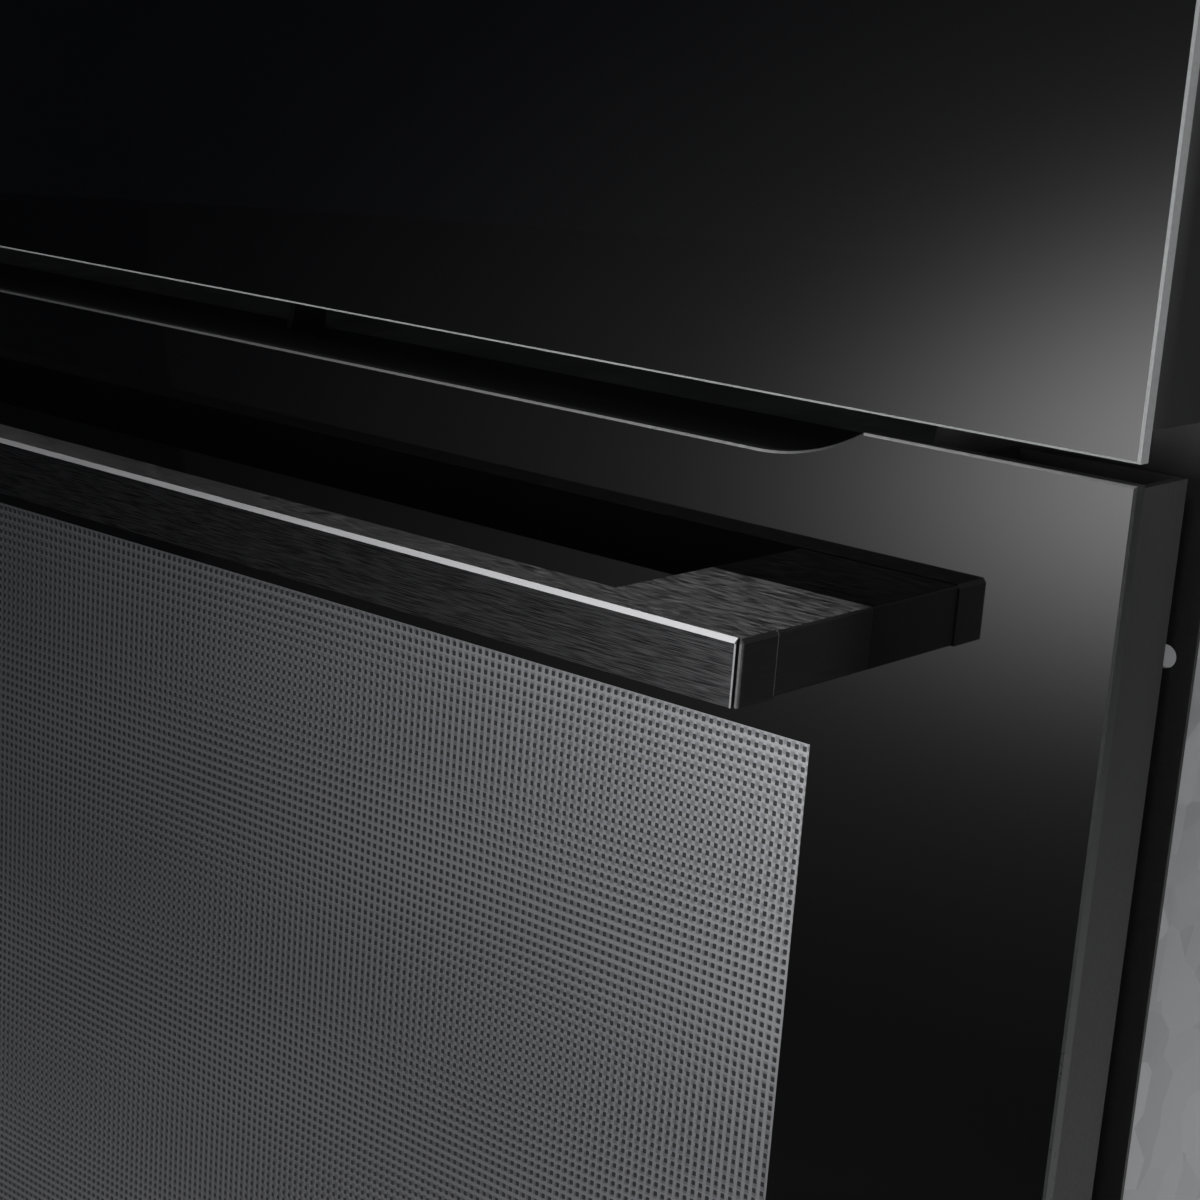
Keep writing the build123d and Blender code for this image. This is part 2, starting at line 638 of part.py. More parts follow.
def hinge_channel():
    """A U section riveted in the door column, with a bent plate that stops the spring."""
    half = CHANNEL_GAP / 2 + CHANNEL_WALL
    low = COLUMN_LOW + COLUMN_WALL
    high = low + CHANNEL_LENGTH
    front = GLASS + COLUMN_WALL
    back = COLUMN_BACK - COLUMN_WALL - FREE
    channel = block((HINGE_X - half, HINGE_X + half), (front, back), (low, high))
    inside = (HINGE_X - CHANNEL_GAP / 2, HINGE_X + CHANNEL_GAP / 2)
    channel -= block(inside, (front + CHANNEL_WALL, back + 1), (low - 1, high + 1))
    cam_room = FOLLOWER_Z + FOLLOWER_RADIUS + CAM_TRAVEL
    channel -= block(inside, (front - 1, back), (low - 1, cam_room))
    plate = block(inside, (front + CHANNEL_WALL, back), (SPRING_PLATE, SPRING_PLATE + CHANNEL_WALL))
    channel += plate
    channel -= post_z(HINGE_X, PIVOT_DEPTH, SPRING_PLATE - 1, SPRING_PLATE + CHANNEL_WALL + 1, ROD_RADIUS + 2 * FREE)
    return channel - rod_x(HINGE_X - half - 1, HINGE_X + half + 1, PIVOT_DEPTH, PIVOT_HEIGHT, PIN_RADIUS + RUNNING)


def hinge_pin():
    half = CHANNEL_GAP / 2 + CHANNEL_WALL
    pin = rod_x(HINGE_X - half - PIN_HEAD, HINGE_X + half + PIN_HEAD, PIVOT_DEPTH, PIVOT_HEIGHT, PIN_RADIUS)
    for x in (HINGE_X - half - PIN_HEAD, HINGE_X + half):
        pin += post_x(x, x + PIN_HEAD, PIVOT_DEPTH, PIVOT_HEIGHT, PIN_HEAD_RADIUS)
    return pin


def hinge_rod():
    """The follower: a round nose across the cam, a collar under the spring and a guided stem."""
    half = ARM_THICKNESS / 2
    top = SPRING_PLATE + CHANNEL_WALL + CAM_TRAVEL
    rod = post_z(HINGE_X, PIVOT_DEPTH, FOLLOWER_Z, top, ROD_RADIUS)
    rod += rod_x(HINGE_X - half, HINGE_X + half, PIVOT_DEPTH, FOLLOWER_Z, FOLLOWER_RADIUS)
    rod += post_z(HINGE_X, PIVOT_DEPTH, COLLAR_Z, COLLAR_Z + ROD_COLLAR_THICKNESS, ROD_COLLAR)
    return rod


def hinge_spring():
    """The coil round the stem, as a plain sleeve of its size, between the collar and the plate."""
    high = SPRING_LOW + SPRING_LENGTH
    coil = post_z(HINGE_X, PIVOT_DEPTH, SPRING_LOW, high, SPRING_RADIUS)
    return coil - post_z(HINGE_X, PIVOT_DEPTH, SPRING_LOW - 1, high + 1, SPRING_RADIUS - SPRING_WIRE)


def hinge_receiver():
    """A folded bracket behind the lower rail that takes the arm's tail."""
    half = ARM_THICKNESS / 2 + FREE
    low = PIVOT_HEIGHT - ARM_DROP - FREE
    high = PIVOT_HEIGHT + ARM_RISE
    far = RAIL_BACK + ARM_TAIL + FREE + RAIL_SHEET
    xs = (HINGE_X - half - RAIL_SHEET, HINGE_X + half + RAIL_SHEET)
    shell = block(xs, (RAIL_BACK, far), (low - RAIL_SHEET, high))
    return shell - block((HINGE_X - half, HINGE_X + half), (RAIL_BACK - 1, far - RAIL_SHEET), (low, high + 1))


save_pair("hinge_arm", hinge_arm())
save_pair("hinge_channel", hinge_channel())
save("hinge_pins", hinge_pin(), mirror(hinge_pin(), about=Plane.YZ))
save_pair("hinge_rod", hinge_rod())
save_pair("hinge_spring", hinge_spring())
save_pair("hinge_receiver", hinge_receiver())


# Front frame and lower rail
def mouth_face(grow):
    face = RectangleRounded(CAVITY_WIDTH + 2 * grow, CAVITY_HEIGHT + 2 * grow, CAVITY_CORNER + grow)
    return Pos(0, CAVITY_MIDDLE) * face


def front_frame():
    face = Pos(0, (FRAME_BOTTOM + FRAME_TOP) / 2) * Rectangle(FRAME_WIDTH, FRAME_TOP - FRAME_BOTTOM)
    face -= mouth_face(0)
    duct_middle = (DECK_TOP + DUCT_TOP - SHEET) / 2
    face -= Pos(0, duct_middle) * Rectangle(DUCT_WIDTH - 2 * SHEET, DUCT_TOP - DECK_TOP - SHEET)
    face -= Pos(0, FASCIA_BOTTOM + FASCIA_HEIGHT / 2) * Rectangle(CONTROL_WIDTH, CONTROL_HEIGHT)
    for x in (-FIXING_SPACING_X / 2, FIXING_SPACING_X / 2):
        for z in (FIXING_LOW, FIXING_LOW + FIXING_SPACING_Z):
            face -= Pos(x, z) * Circle(FIXING_HOLE / 2)
    frame = along_y(face, FRAME_DEPTH, FRAME_BACK)
    lip = block((-SIDE_IN, SIDE_IN), (FRAME_DEPTH, RAIL_FACE), (FRAME_BOTTOM, FRAME_BOTTOM + FRAME_SHEET))
    return frame + lip


def lower_rail():
    """A C section across the foot of the carcass, slotted for the hinge arms and for air."""
    low = SHEET
    high = low + RAIL_HEIGHT
    far = RAIL_FACE + FLANGE
    section = outline([
        (y(RAIL_FACE), low), (y(far), low), (y(far), low + RAIL_SHEET), (y(RAIL_BACK), low + RAIL_SHEET),
        (y(RAIL_BACK), high - RAIL_SHEET), (y(far), high - RAIL_SHEET), (y(far), high), (y(RAIL_FACE), high),
    ])
    rail = along_x(section, -SIDE_IN, SIDE_IN)
    slot_half = ARM_THICKNESS / 2 + FREE
    slot_low = PIVOT_HEIGHT - ARM_DROP + ARM_NOTCH
    slot_high = PIVOT_HEIGHT + ARM_RISE + ARM_NOTCH + FREE
    for side in (-1, 1):
        xs = (side * HINGE_X - slot_half, side * HINGE_X + slot_half)
        rail -= block(xs, (RAIL_FACE - 1, RAIL_BACK + 1), (slot_low, slot_high))
    air = Pos(0, PIVOT_HEIGHT) * slots(VENT_SLOT_COUNT, VENT_SLOT_LENGTH / 2, VENT_SLOT_PITCH, VENT_SLOT_PITCH)
    return rail - along_y(air, RAIL_FACE - 1, RAIL_BACK + 1)


def mouth_gasket():
    ring = mouth_face(GASKET_OFFSET + GASKET_WIDTH) - mouth_face(GASKET_OFFSET)
    gasket = along_y(ring, INNER_GLASS_BACK + FREE, FRAME_DEPTH)
    front = gasket.faces().sort_by(Axis.Y)[0]
    return chamfer(front.edges(), GASKET_BEVEL)


save("front_frame", front_frame())
save("lower_rail", lower_rail())
save("mouth_gasket", mouth_gasket())


# Outer panels
def side_panel():
    """A sheet with flanges turned in at the top, the back and the front."""
    outer = BODY_WIDTH / 2
    top = BODY_HEIGHT - SHEET
    rear = BODY_BACK - SHEET
    panel = block((SIDE_IN, outer), (FRAME_BACK, rear), (0, top))
    panel += block((SIDE_IN - FLANGE, SIDE_IN), (FRAME_BACK + FLANGE, rear), (top - SHEET, top))
    panel += block((SIDE_IN - FLANGE, SIDE_IN), (rear - SHEET, rear), (FLANGE, top))
    vents = slots(VENT_SLOT_COUNT, VENT_SLOT_PITCH, VENT_SLOT_WIDTH, VENT_SLOT_LENGTH, horizontal=True)
    vents = Pos(y(rear - VENT_SLOT_LENGTH), DECK_TOP + FASCIA_HEIGHT / 2) * vents
    panel -= along_x(vents, SIDE_IN - 1, outer + 1)
    for depth in top_screw_depths():
        panel -= hole_z(SIDE_IN - FLANGE / 2, depth, top - SHEET - 1, top + 1, SCREW_RADIUS + HOLE)
    for z in rear_screw_heights():
        panel -= hole_y(SIDE_IN - FLANGE / 2, rear - SHEET - 1, rear + 1, z, SCREW_RADIUS + HOLE)
    return panel


def top_screw_depths():
    return [FRAME_BACK + 3 * FLANGE, FRAME_BACK + BODY_DEPTH / 2, BODY_BACK - 3 * FLANGE]


def rear_screw_heights():
    return [3 * FLANGE, BODY_HEIGHT / 2, BODY_HEIGHT - 3 * FLANGE]


def top_cover():
    half = BODY_WIDTH / 2
    cover = block((-half, half), (FRAME_BACK, BODY_BACK - SHEET), (BODY_HEIGHT - SHEET, BODY_HEIGHT))
    vents = slots(2 * VENT_SLOT_COUNT, VENT_SLOT_PITCH, VENT_SLOT_WIDTH, VENT_SLOT_LENGTH)
    vents = Pos(0, y(BLOWER_DEPTH + VENT_SLOT_LENGTH)) * vents
    cover -= along_z(vents, BODY_HEIGHT - SHEET - 1, BODY_HEIGHT + 1)
    for side in (-1, 1):
        for depth in top_screw_depths():
            x = side * (SIDE_IN - FLANGE / 2)
            cover -= hole_z(x, depth, BODY_HEIGHT - SHEET - 1, BODY_HEIGHT + 1, SCREW_RADIUS + HOLE)
    return cover


def rear_panel():
    half = BODY_WIDTH / 2
    panel = block((-half, half), (BODY_BACK - SHEET, BODY_BACK), (0, BODY_HEIGHT))
    vents = slots(VENT_SLOT_COUNT, VENT_SLOT_PITCH, VENT_SLOT_WIDTH, VENT_SLOT_LENGTH)
    for z in (DECK_TOP + FASCIA_HEIGHT / 2, CAVITY_FLOOR):
        panel -= along_y(Pos(-FLANGE, z) * vents, BODY_BACK - SHEET - 1, BODY_BACK + 1)
    window = Pos(TERMINAL_X, TERMINAL_Z) * Rectangle(TERMINAL_WIDTH + 2 * FREE, TERMINAL_HEIGHT + 2 * FREE)
    panel -= along_y(window, BODY_BACK - SHEET - 1, BODY_BACK + 1)
    for side in (-1, 1):
        for z in rear_screw_heights():
            x = side * (SIDE_IN - FLANGE / 2)
            panel -= hole_y(x, BODY_BACK - SHEET - 1, BODY_BACK + 1, z, SCREW_RADIUS + HOLE)
    return panel


def base_tray():
    """A floor pan with a lip along each side and slots under the cavity."""
    low = outline([
        (-SIDE_IN, 0), (SIDE_IN, 0), (SIDE_IN, FLANGE), (SIDE_IN - SHEET, FLANGE),
        (SIDE_IN - SHEET, SHEET), (SHEET - SIDE_IN, SHEET), (SHEET - SIDE_IN, FLANGE), (-SIDE_IN, FLANGE),
    ])
    pan = along_y(low, RAIL_FACE + FLANGE, BODY_BACK - SHEET)
    pan += block((-SIDE_IN, SIDE_IN), (RAIL_FACE, RAIL_FACE + FLANGE), (0, SHEET))
    vents = slots(VENT_SLOT_COUNT, 3 * VENT_SLOT_PITCH, VENT_SLOT_WIDTH, 2 * VENT_SLOT_LENGTH)
    return pan - along_z(Pos(0, y(FRAME_BACK + BODY_DEPTH / 2)) * vents, -1, SHEET + 1)


def chassis_screws():
    screws = []
    for side in (-1, 1):
        x = side * (SIDE_IN - FLANGE / 2)
        for depth in top_screw_depths():
            head = Pos(x, y(depth)) * RegularPolygon(SCREW_HEAD_RADIUS, 6)
            head = along_z(head, BODY_HEIGHT, BODY_HEIGHT + SCREW_HEAD)
            screws.append(head + wire_z(x, depth, BODY_HEIGHT - SCREW_GRIP, BODY_HEIGHT, SCREW_RADIUS))
        for z in rear_screw_heights():
            head = Pos(x, z) * RegularPolygon(SCREW_HEAD_RADIUS, 6)
            head = along_y(head, BODY_BACK, BODY_BACK + SCREW_HEAD)
            screws.append(head + wire_y(x, BODY_BACK - SCREW_GRIP, BODY_BACK, z, SCREW_RADIUS))
    return screws


save_pair("side_panel", side_panel())
save("top_cover", top_cover())
save("rear_panel", rear_panel())
save("base_tray", base_tray())
save("chassis_screws", *chassis_screws())


# Cavity, its insulation and what passes through its back wall
def ring_tail():
    """X and Z of the ring heater's right-hand tail."""
    x = RING_RADIUS * math.sin(RING_OPEN_ANGLE) - RING_BEND * math.cos(RING_OPEN_ANGLE)
    z = RING_RADIUS * math.cos(RING_OPEN_ANGLE) + RING_BEND * math.sin(RING_OPEN_ANGLE)
    return x, CAVITY_MIDDLE - z


def heater_holes(near, far, grow):
    """Rods along Y where heater tails and the probe pass through a wall."""
    ring_x, ring_z = ring_tail()
    half = GRILL_WIDTH / 2
    places = [(-half, GRILL_Z), (half, GRILL_Z), (-ring_x, ring_z), (ring_x, ring_z), (PROBE_X, GRILL_Z)]
    return [hole_y(x, near, far, z, TUBE_RADIUS + grow) for x, z in places]


def cavity():
    shell = along_y(mouth_face(CAVITY_WALL), FRAME_BACK, CAVITY_REAR_BACK)
    shell += along_y(mouth_face(CAVITY_FLANGE), FRAME_BACK, FRAME_BACK + CAVITY_WALL)
    shell -= along_y(mouth_face(0), FRAME_BACK - 1, CAVITY_REAR)
    shell -= rod_y(0, CAVITY_REAR - 1, CAVITY_REAR_BACK + 1, CAVITY_MIDDLE, FAN_HUB)
    for hole in heater_holes(CAVITY_REAR - 1, CAVITY_REAR_BACK + 1, HOLE):
        shell -= hole
    lamp_depth = FRAME_BACK + LAMP_REACH
    roof = CAVITY_CEILING + CAVITY_WALL
    return shell - hole_z(LAMP_X, lamp_depth, CAVITY_CEILING - 1, roof + 1, LAMP_RADIUS + HOLE, DRUM_SIDES)


def insulation():
    """Glass wool round the cavity, open at the front and hollow under the floor for the base heater."""
    gap = CAVITY_WALL + FREE
    low = CAVITY_FLOOR - CAVITY_WALL - WOOL_FLOOR_SPACE
    half = CAVITY_WIDTH / 2 + gap
    front = FRAME_BACK + gap
    rear = CAVITY_REAR_BACK + FREE
    wrap = block((-half - WOOL, half + WOOL), (front, rear + WOOL), (low - WOOL, WOOL_TOP))
    wrap -= along_y(mouth_face(gap), front - 1, rear)
    wrap -= block((-half, half), (front - 1, rear), (low, CAVITY_MIDDLE))
    wrap -= drum_y(rear - 1, rear + WOOL + 1, CAVITY_MIDDLE, MOTOR_LEG_CIRCLE + 2 * MOTOR_LEG_RADIUS)
    for hole in heater_holes(rear - 1, rear + WOOL + 1, 2 * HOLE):
        wrap -= hole
    for x in (-BASE_HEATER_WIDTH / 2, BASE_HEATER_WIDTH / 2):
        wrap -= hole_y(x, rear - 1, rear + WOOL + 1, BASE_HEATER_Z, TUBE_RADIUS + 2 * HOLE)
    lamp_depth = FRAME_BACK + LAMP_REACH
    lamp_room = LAMP_RADIUS + LAMP_FLANGE + FREE
    return wrap - hole_z(LAMP_X, lamp_depth, CAVITY_CEILING, WOOL_TOP + 1, lamp_room, DRUM_SIDES)


save("cavity", cavity())
save("insulation", insulation())


# Heaters, lamp and probe
def ring_element():
    """A heater ring round the fan, whose two ends turn back through the cavity wall."""
    depth = y(CAVITY_REAR - BAFFLE_DEPTH / 2)
    end_x = RING_RADIUS * math.sin(RING_OPEN_ANGLE)
    end_z = CAVITY_MIDDLE - RING_RADIUS * math.cos(RING_OPEN_ANGLE)
    crown = (0, depth, CAVITY_MIDDLE + RING_RADIUS)
    ring = ThreePointArc((-end_x, depth, end_z), crown, (end_x, depth, end_z))
    half = RING_BEND * math.sqrt(0.5)
    tail_x, tail_z = ring_tail()
    edges = [ring]
    for side in (-1, 1):
        way = Vector(-side * math.cos(RING_OPEN_ANGLE), 0, -math.sin(RING_OPEN_ANGLE))
        start = Vector(side * end_x, depth, end_z)
        bow = start + way * half + Vector(0, RING_BEND - half, 0)
        turned = Vector(side * tail_x, depth + RING_BEND, tail_z)
        back = Vector(side * tail_x, y(CAVITY_REAR_BACK + TUBE_TAIL), tail_z)
        edges += [ThreePointArc(start, bow, turned), Line(turned, back)]
    element = tube(Wire(edges), TUBE_RADIUS)
    plate_x = tail_x + 3 * TUBE_RADIUS
    plate_zs = (tail_z - 2 * TUBE_RADIUS, tail_z + 2 * TUBE_RADIUS)
    return element + block((-plate_x, plate_x), (CAVITY_REAR - TUBE_PLATE, CAVITY_REAR), plate_zs)


def grill_element():
    """A bent heater under the ceiling, carried by two plates on the back wall."""
    half = GRILL_WIDTH / 2
    loop = GRILL_LOOP_WIDTH / 2
    front = y(FRAME_BACK + GRILL_FRONT_SPACE)
    inner = front + GRILL_LOOP_LENGTH
    back = y(CAVITY_REAR_BACK + TUBE_TAIL)
    run = [(-half, back), (-half, front), (-loop, front), (-loop, inner)]
    run += [(-x, depth) for x, depth in reversed(run)]
    element = tube(FilletPolyline(*[(x, depth, GRILL_Z) for x, depth in run], radius=TUBE_BEND), TUBE_RADIUS)
    for x in (-half, half):
        xs = (x - 3 * TUBE_RADIUS, x + 3 * TUBE_RADIUS)
        zs = (GRILL_Z - 2 * TUBE_RADIUS, GRILL_Z + 2 * TUBE_RADIUS)
        element += block(xs, (CAVITY_REAR - TUBE_PLATE, CAVITY_REAR), zs)
    return element


def bottom_element():
    """A wide loop under the cavity floor."""
    half = BASE_HEATER_WIDTH / 2
    front = y(FRAME_BACK + BASE_HEATER_FRONT_SPACE)
    back = y(CAVITY_REAR_BACK + TUBE_TAIL)
    run = [(-half, back), (-half, front), (half, front), (half, back)]
    path = FilletPolyline(*[(x, depth, BASE_HEATER_Z) for x, depth in run], radius=BASE_HEATER_BEND)
    return tube(path, TUBE_RADIUS)


def lamp_drum(low, high, radius):
    face = Pos(LAMP_X, y(FRAME_BACK + LAMP_REACH)) * RegularPolygon(radius, DRUM_SIDES)
    return along_z(face, low, high)


def lamp_glass():
    low = CAVITY_CEILING - LAMP_DROP
    high = CAVITY_CEILING + LAMP_SEAT
    cup = lamp_drum(low, high, LAMP_RADIUS)
    cup = chamfer(cup.faces().sort_by(Axis.Z)[0].edges(), LAMP_BEVEL)
    hollow = lamp_drum(low + LAMP_GLASS, high + LAMP_BEVEL, LAMP_RADIUS - LAMP_GLASS)
    return cup - chamfer(hollow.faces().sort_by(Axis.Z)[0].edges(), LAMP_BEVEL)


def lamp_holder():
    low = CAVITY_CEILING + CAVITY_WALL
    high = low + LAMP_HOLDER_HEIGHT
    holder = lamp_drum(low, high, LAMP_RADIUS + LAMP_FLANGE)
    holder -= lamp_drum(low - 1, high - LAMP_FLANGE, LAMP_RADIUS + FREE)
    return holder + lamp_drum(CAVITY_CEILING, high - LAMP_FLANGE / 2, BULB_RADIUS)


def temperature_probe():
    near = CAVITY_REAR - PROBE_REACH
    probe = wire_y(PROBE_X, near, CAVITY_REAR_BACK + TUBE_TAIL, GRILL_Z, PROBE_RADIUS)
    probe = chamfer(probe.faces().sort_by(Axis.Y)[0].edges(), PROBE_RADIUS / 2)
    nut = Pos(PROBE_X, GRILL_Z) * RegularPolygon(2 * TUBE_RADIUS, 6)
    return probe + along_y(nut, CAVITY_REAR - TUBE_PLATE, CAVITY_REAR)


save("ring_element", ring_element())
save("grill_element", grill_element())
save("bottom_element", bottom_element())
save("lamp_glass", lamp_glass())
save("lamp_holder", lamp_holder())
save("temperature_probe", temperature_probe())


# Convection fan
FAN_DISC = BAFFLE_FACE + SHEET + BAFFLE_FLANGE + FAN_BLADE_HEIGHT
MOTOR_PLATE = CAVITY_REAR_BACK + MOTOR_LEG_LENGTH


def convection_fan():
    """A pressed wheel: a disc with blades turned up towards the baffle, on a collar."""
    wheel = drum_y(FAN_DISC, FAN_DISC + FAN_SHEET, CAVITY_MIDDLE, FAN_RADIUS)
    length = FAN_RADIUS - FAN_BLADE_ROOT
    blades = Sketch()
    for i in range(FAN_BLADES):
        lean = Pos(FAN_BLADE_ROOT + length / 2, 0) * Rot(0, 0, FAN_BLADE_LEAN) * Rectangle(length, FAN_SHEET)
        blades += Rot(0, 0, i * 360 / FAN_BLADES) * lean
    blades = Pos(0, CAVITY_MIDDLE) * (blades & RegularPolygon(FAN_RADIUS, DRUM_SIDES))
    wheel += along_y(blades, FAN_DISC - FAN_BLADE_HEIGHT, FAN_DISC + FAN_SHEET / 2)
    wheel += rod_y(0, FAN_DISC - FAN_HUB, FAN_DISC, CAVITY_MIDDLE, FAN_HUB)
    return wheel - rod_y(0, FAN_DISC - FAN_HUB - 1, FAN_DISC + FAN_SHEET + 1, CAVITY_MIDDLE, FAN_SHAFT + RUNNING)


def fan_shaft():
    """The motor's shaft, with the cap nut that holds the wheel."""
    tip = FAN_DISC - FAN_HUB
    shaft = rod_y(0, tip, MOTOR_PLATE + MOTOR_LENGTH / 2, CAVITY_MIDDLE, FAN_SHAFT)
    nut = along_y(Pos(0, CAVITY_MIDDLE) * RegularPolygon(2 * FAN_SHAFT, 6), tip - 2 * FAN_SHAFT, tip)
    return shaft + nut


def fan_motor():
    """A motor on three legs that stand on the cavity's back wall."""
    plate_back = MOTOR_PLATE + 2 * SHEET
    plate_radius = MOTOR_LEG_CIRCLE + MOTOR_LEG_RADIUS + MOTOR_PLATE_MARGIN
    motor = drum_y(MOTOR_PLATE, plate_back, CAVITY_MIDDLE, plate_radius)
    motor += drum_y(plate_back, plate_back + MOTOR_LENGTH, CAVITY_MIDDLE, MOTOR_RADIUS)
    for i in range(3):
        angle = math.radians(90 + 120 * i)
        x = MOTOR_LEG_CIRCLE * math.cos(angle)
        z = CAVITY_MIDDLE + MOTOR_LEG_CIRCLE * math.sin(angle)
        motor += post_y(x, CAVITY_REAR_BACK, MOTOR_PLATE, z, MOTOR_LEG_RADIUS)
    bore_end = MOTOR_PLATE + MOTOR_LENGTH / 2 + FREE
    return motor - rod_y(0, MOTOR_PLATE - 1, bore_end, CAVITY_MIDDLE, FAN_SHAFT + RUNNING)


def back_baffle():
    """A pressed cover over the fan, with a rosette of inlet slots and hot-air slots at both sides."""
    centre = Pos(0, CAVITY_MIDDLE)
    pan = along_y(centre * RectangleRounded(BAFFLE_WIDTH, BAFFLE_HEIGHT, BAFFLE_CORNER), BAFFLE_FACE, CAVITY_REAR)
    pan = chamfer(pan.faces().sort_by(Axis.Y)[0].edges(), BAFFLE_FLANGE)
    brim = (BAFFLE_WIDTH + 2 * BAFFLE_FLANGE, BAFFLE_HEIGHT + 2 * BAFFLE_FLANGE, BAFFLE_CORNER + BAFFLE_FLANGE)
    pan += along_y(centre * RectangleRounded(*brim), CAVITY_REAR - SHEET, CAVITY_REAR)
    room = (BAFFLE_WIDTH - 2 * SHEET, BAFFLE_HEIGHT - 2 * SHEET, BAFFLE_CORNER - SHEET)
    hollow = along_y(centre * RectangleRounded(*room), BAFFLE_FACE + SHEET, CAVITY_REAR + 1)
    pan -= chamfer(hollow.faces().sort_by(Axis.Y)[0].edges(), BAFFLE_FLANGE)
    rosette = Sketch()
    reach = BAFFLE_SLOT_OUTER - BAFFLE_SLOT_INNER
    for i in range(BAFFLE_SLOTS):
        slot = Pos(BAFFLE_SLOT_INNER + reach / 2, 0) * Rectangle(reach, BAFFLE_SLOT_WIDTH)
        rosette += Rot(0, 0, (i + 0.5) * 360 / BAFFLE_SLOTS) * slot
    for side in (-1, 1):
        outlets = slots(4, VENT_SLOT_PITCH, 2 * VENT_SLOT_WIDTH, 2 * VENT_SLOT_LENGTH)
        rosette += Pos(side * (BAFFLE_WIDTH / 2 - 3 * VENT_SLOT_PITCH), 0) * outlets
    return pan - along_y(centre * rosette, BAFFLE_FACE - 1, BAFFLE_FACE + SHEET + 1)


save("convection_fan", convection_fan())
save("fan_shaft", fan_shaft())
save("fan_motor", fan_motor())
save("back_baffle", back_baffle())


# Shelf rails, wire shelf and baking tray
def level_z(level):
    return CAVITY_FLOOR + RAIL_FIRST_LEVEL + level * RAIL_LEVEL_PITCH


def shelf_rail():
    """Welded wires: a pair for each level on two uprights beside the cavity wall."""
    near = FRAME_BACK + RAIL_FRONT_SPACE
    far = near + RAIL_LENGTH
    upright_x = SHELF_WIRE_X + 2 * WIRE_FLAT - WELD
    low = level_z(0) - RAIL_PAIR
    high = level_z(RAIL_LEVELS - 1) + 2 * RAIL_PAIR
    rail = wire_z(upright_x, near + RAIL_POST_INSET, low, high, WIRE_RADIUS)
    rail += wire_z(upright_x, far - RAIL_POST_INSET, low, high, WIRE_RADIUS)
    for level in range(RAIL_LEVELS):
        for z in (level_z(level), level_z(level) + RAIL_PAIR):
            rail += wire_y(SHELF_WIRE_X, near, far, z, WIRE_RADIUS)
    return rail


def wire_shelf():
    """A ring of heavy wire with lighter bars from front to back."""
    near = FRAME_BACK + RAIL_FRONT_SPACE + SHELF_FRAME_RADIUS
    z = level_z(SHELF_LEVEL) + WIRE_RADIUS + FREE + SHELF_FRAME_RADIUS
    middle = y(near + SHELF_DEPTH / 2)
    width = 2 * (SHELF_WIRE_X - SHELF_SIDE_PLAY)
    ring = RectangleRounded(width, SHELF_DEPTH, SHELF_CORNER)
    path = (Pos(0, middle, z) * ring).face().outer_wire()
    shelf = tube(path, SHELF_FRAME_RADIUS)
    pitch = width / (SHELF_BARS + 1)
    for i in range(SHELF_BARS):
        x = (i - (SHELF_BARS - 1) / 2) * pitch
        shelf += wire_y(x, near, near + SHELF_DEPTH, z, SHELF_BAR_RADIUS)
    return shelf


def baking_tray():
    """A shallow pressed pan that hangs by its rim on the rails."""
    under = level_z(TRAY_LEVEL) + WIRE_RADIUS + FREE
    top = under + TRAY_WALL
    half = SHELF_WIRE_X + WIRE_RADIUS / 2
    middle = Pos(0, y(FRAME_BACK + RAIL_FRONT_SPACE + TRAY_DEPTH / 2))
    pan_size = (2 * (half - TRAY_RIM), TRAY_DEPTH - 2 * TRAY_RIM)
    corner = TRAY_CORNER - TRAY_RIM / 2
    pan = along_z(middle * RectangleRounded(*pan_size, corner), top - TRAY_HEIGHT, top)
    pan = chamfer(pan.faces().sort_by(Axis.Z)[0].edges(), TRAY_RIM / 2)
    rim = along_z(middle * RectangleRounded(2 * half, TRAY_DEPTH, TRAY_CORNER), under, top)
    room = [side - 2 * TRAY_WALL for side in pan_size]
    hollow = along_z(middle * RectangleRounded(*room, corner - TRAY_WALL), top - TRAY_HEIGHT + TRAY_WALL, top + 1)
    hollow = chamfer(hollow.faces().sort_by(Axis.Z)[0].edges(), TRAY_RIM / 2)
    return pan + rim - hollow


save_pair("shelf_rail", shelf_rail())
save("wire_shelf", wire_shelf())
save("baking_tray", baking_tray())


# Cooling air
def air_channel():
    """The deck over the insulation, with a flat duct on it that leads to the front slot."""
    deck = block((-SIDE_IN, SIDE_IN), (FRAME_BACK, FRAME_BACK + DECK_DEPTH), (DECK_TOP - SHEET, DECK_TOP))
    half = DUCT_WIDTH / 2
    reach = (FRAME_BACK, FRAME_BACK + DUCT_LENGTH)
    hat = block((-half, half), reach, (DECK_TOP, DUCT_TOP))
    room = (reach[0] - 1, reach[1] + 1)
    hat -= block((SHEET - half, half - SHEET), room, (DECK_TOP, DUCT_TOP - SHEET))
    return deck + hat


def vent_grille():
    """A sill in the duct's mouth with upright ribs set back on it, each bowed at its front edge."""
    half = DUCT_WIDTH / 2 - SHEET - VENT_INSET
    near = FRAME_DEPTH
    far = FRAME_BACK + 2 * FLANGE
    high = DUCT_TOP - SHEET - FREE
    grille = block((-half, half), (near, far), (DECK_TOP, DECK_TOP + VENT_RIB))
    low = DECK_TOP
    front = y(near + VENT_RIB_SETBACK)
    bow = ThreePointArc((front, low), (front + VENT_RIB, (low + high) / 2), (front, high))
    rib = make_face([
        bow, Line((front, high), (y(far), high)), Line((y(far), high), (y(far), low)),
        Line((y(far), low), (front, low)),
    ])
    for i in range(VENT_RIBS):
        x = (i - (VENT_RIBS - 1) / 2) * VENT_RIB_PITCH
        grille += along_x(rib, x - VENT_RIB / 2, x + VENT_RIB / 2)
    return grille


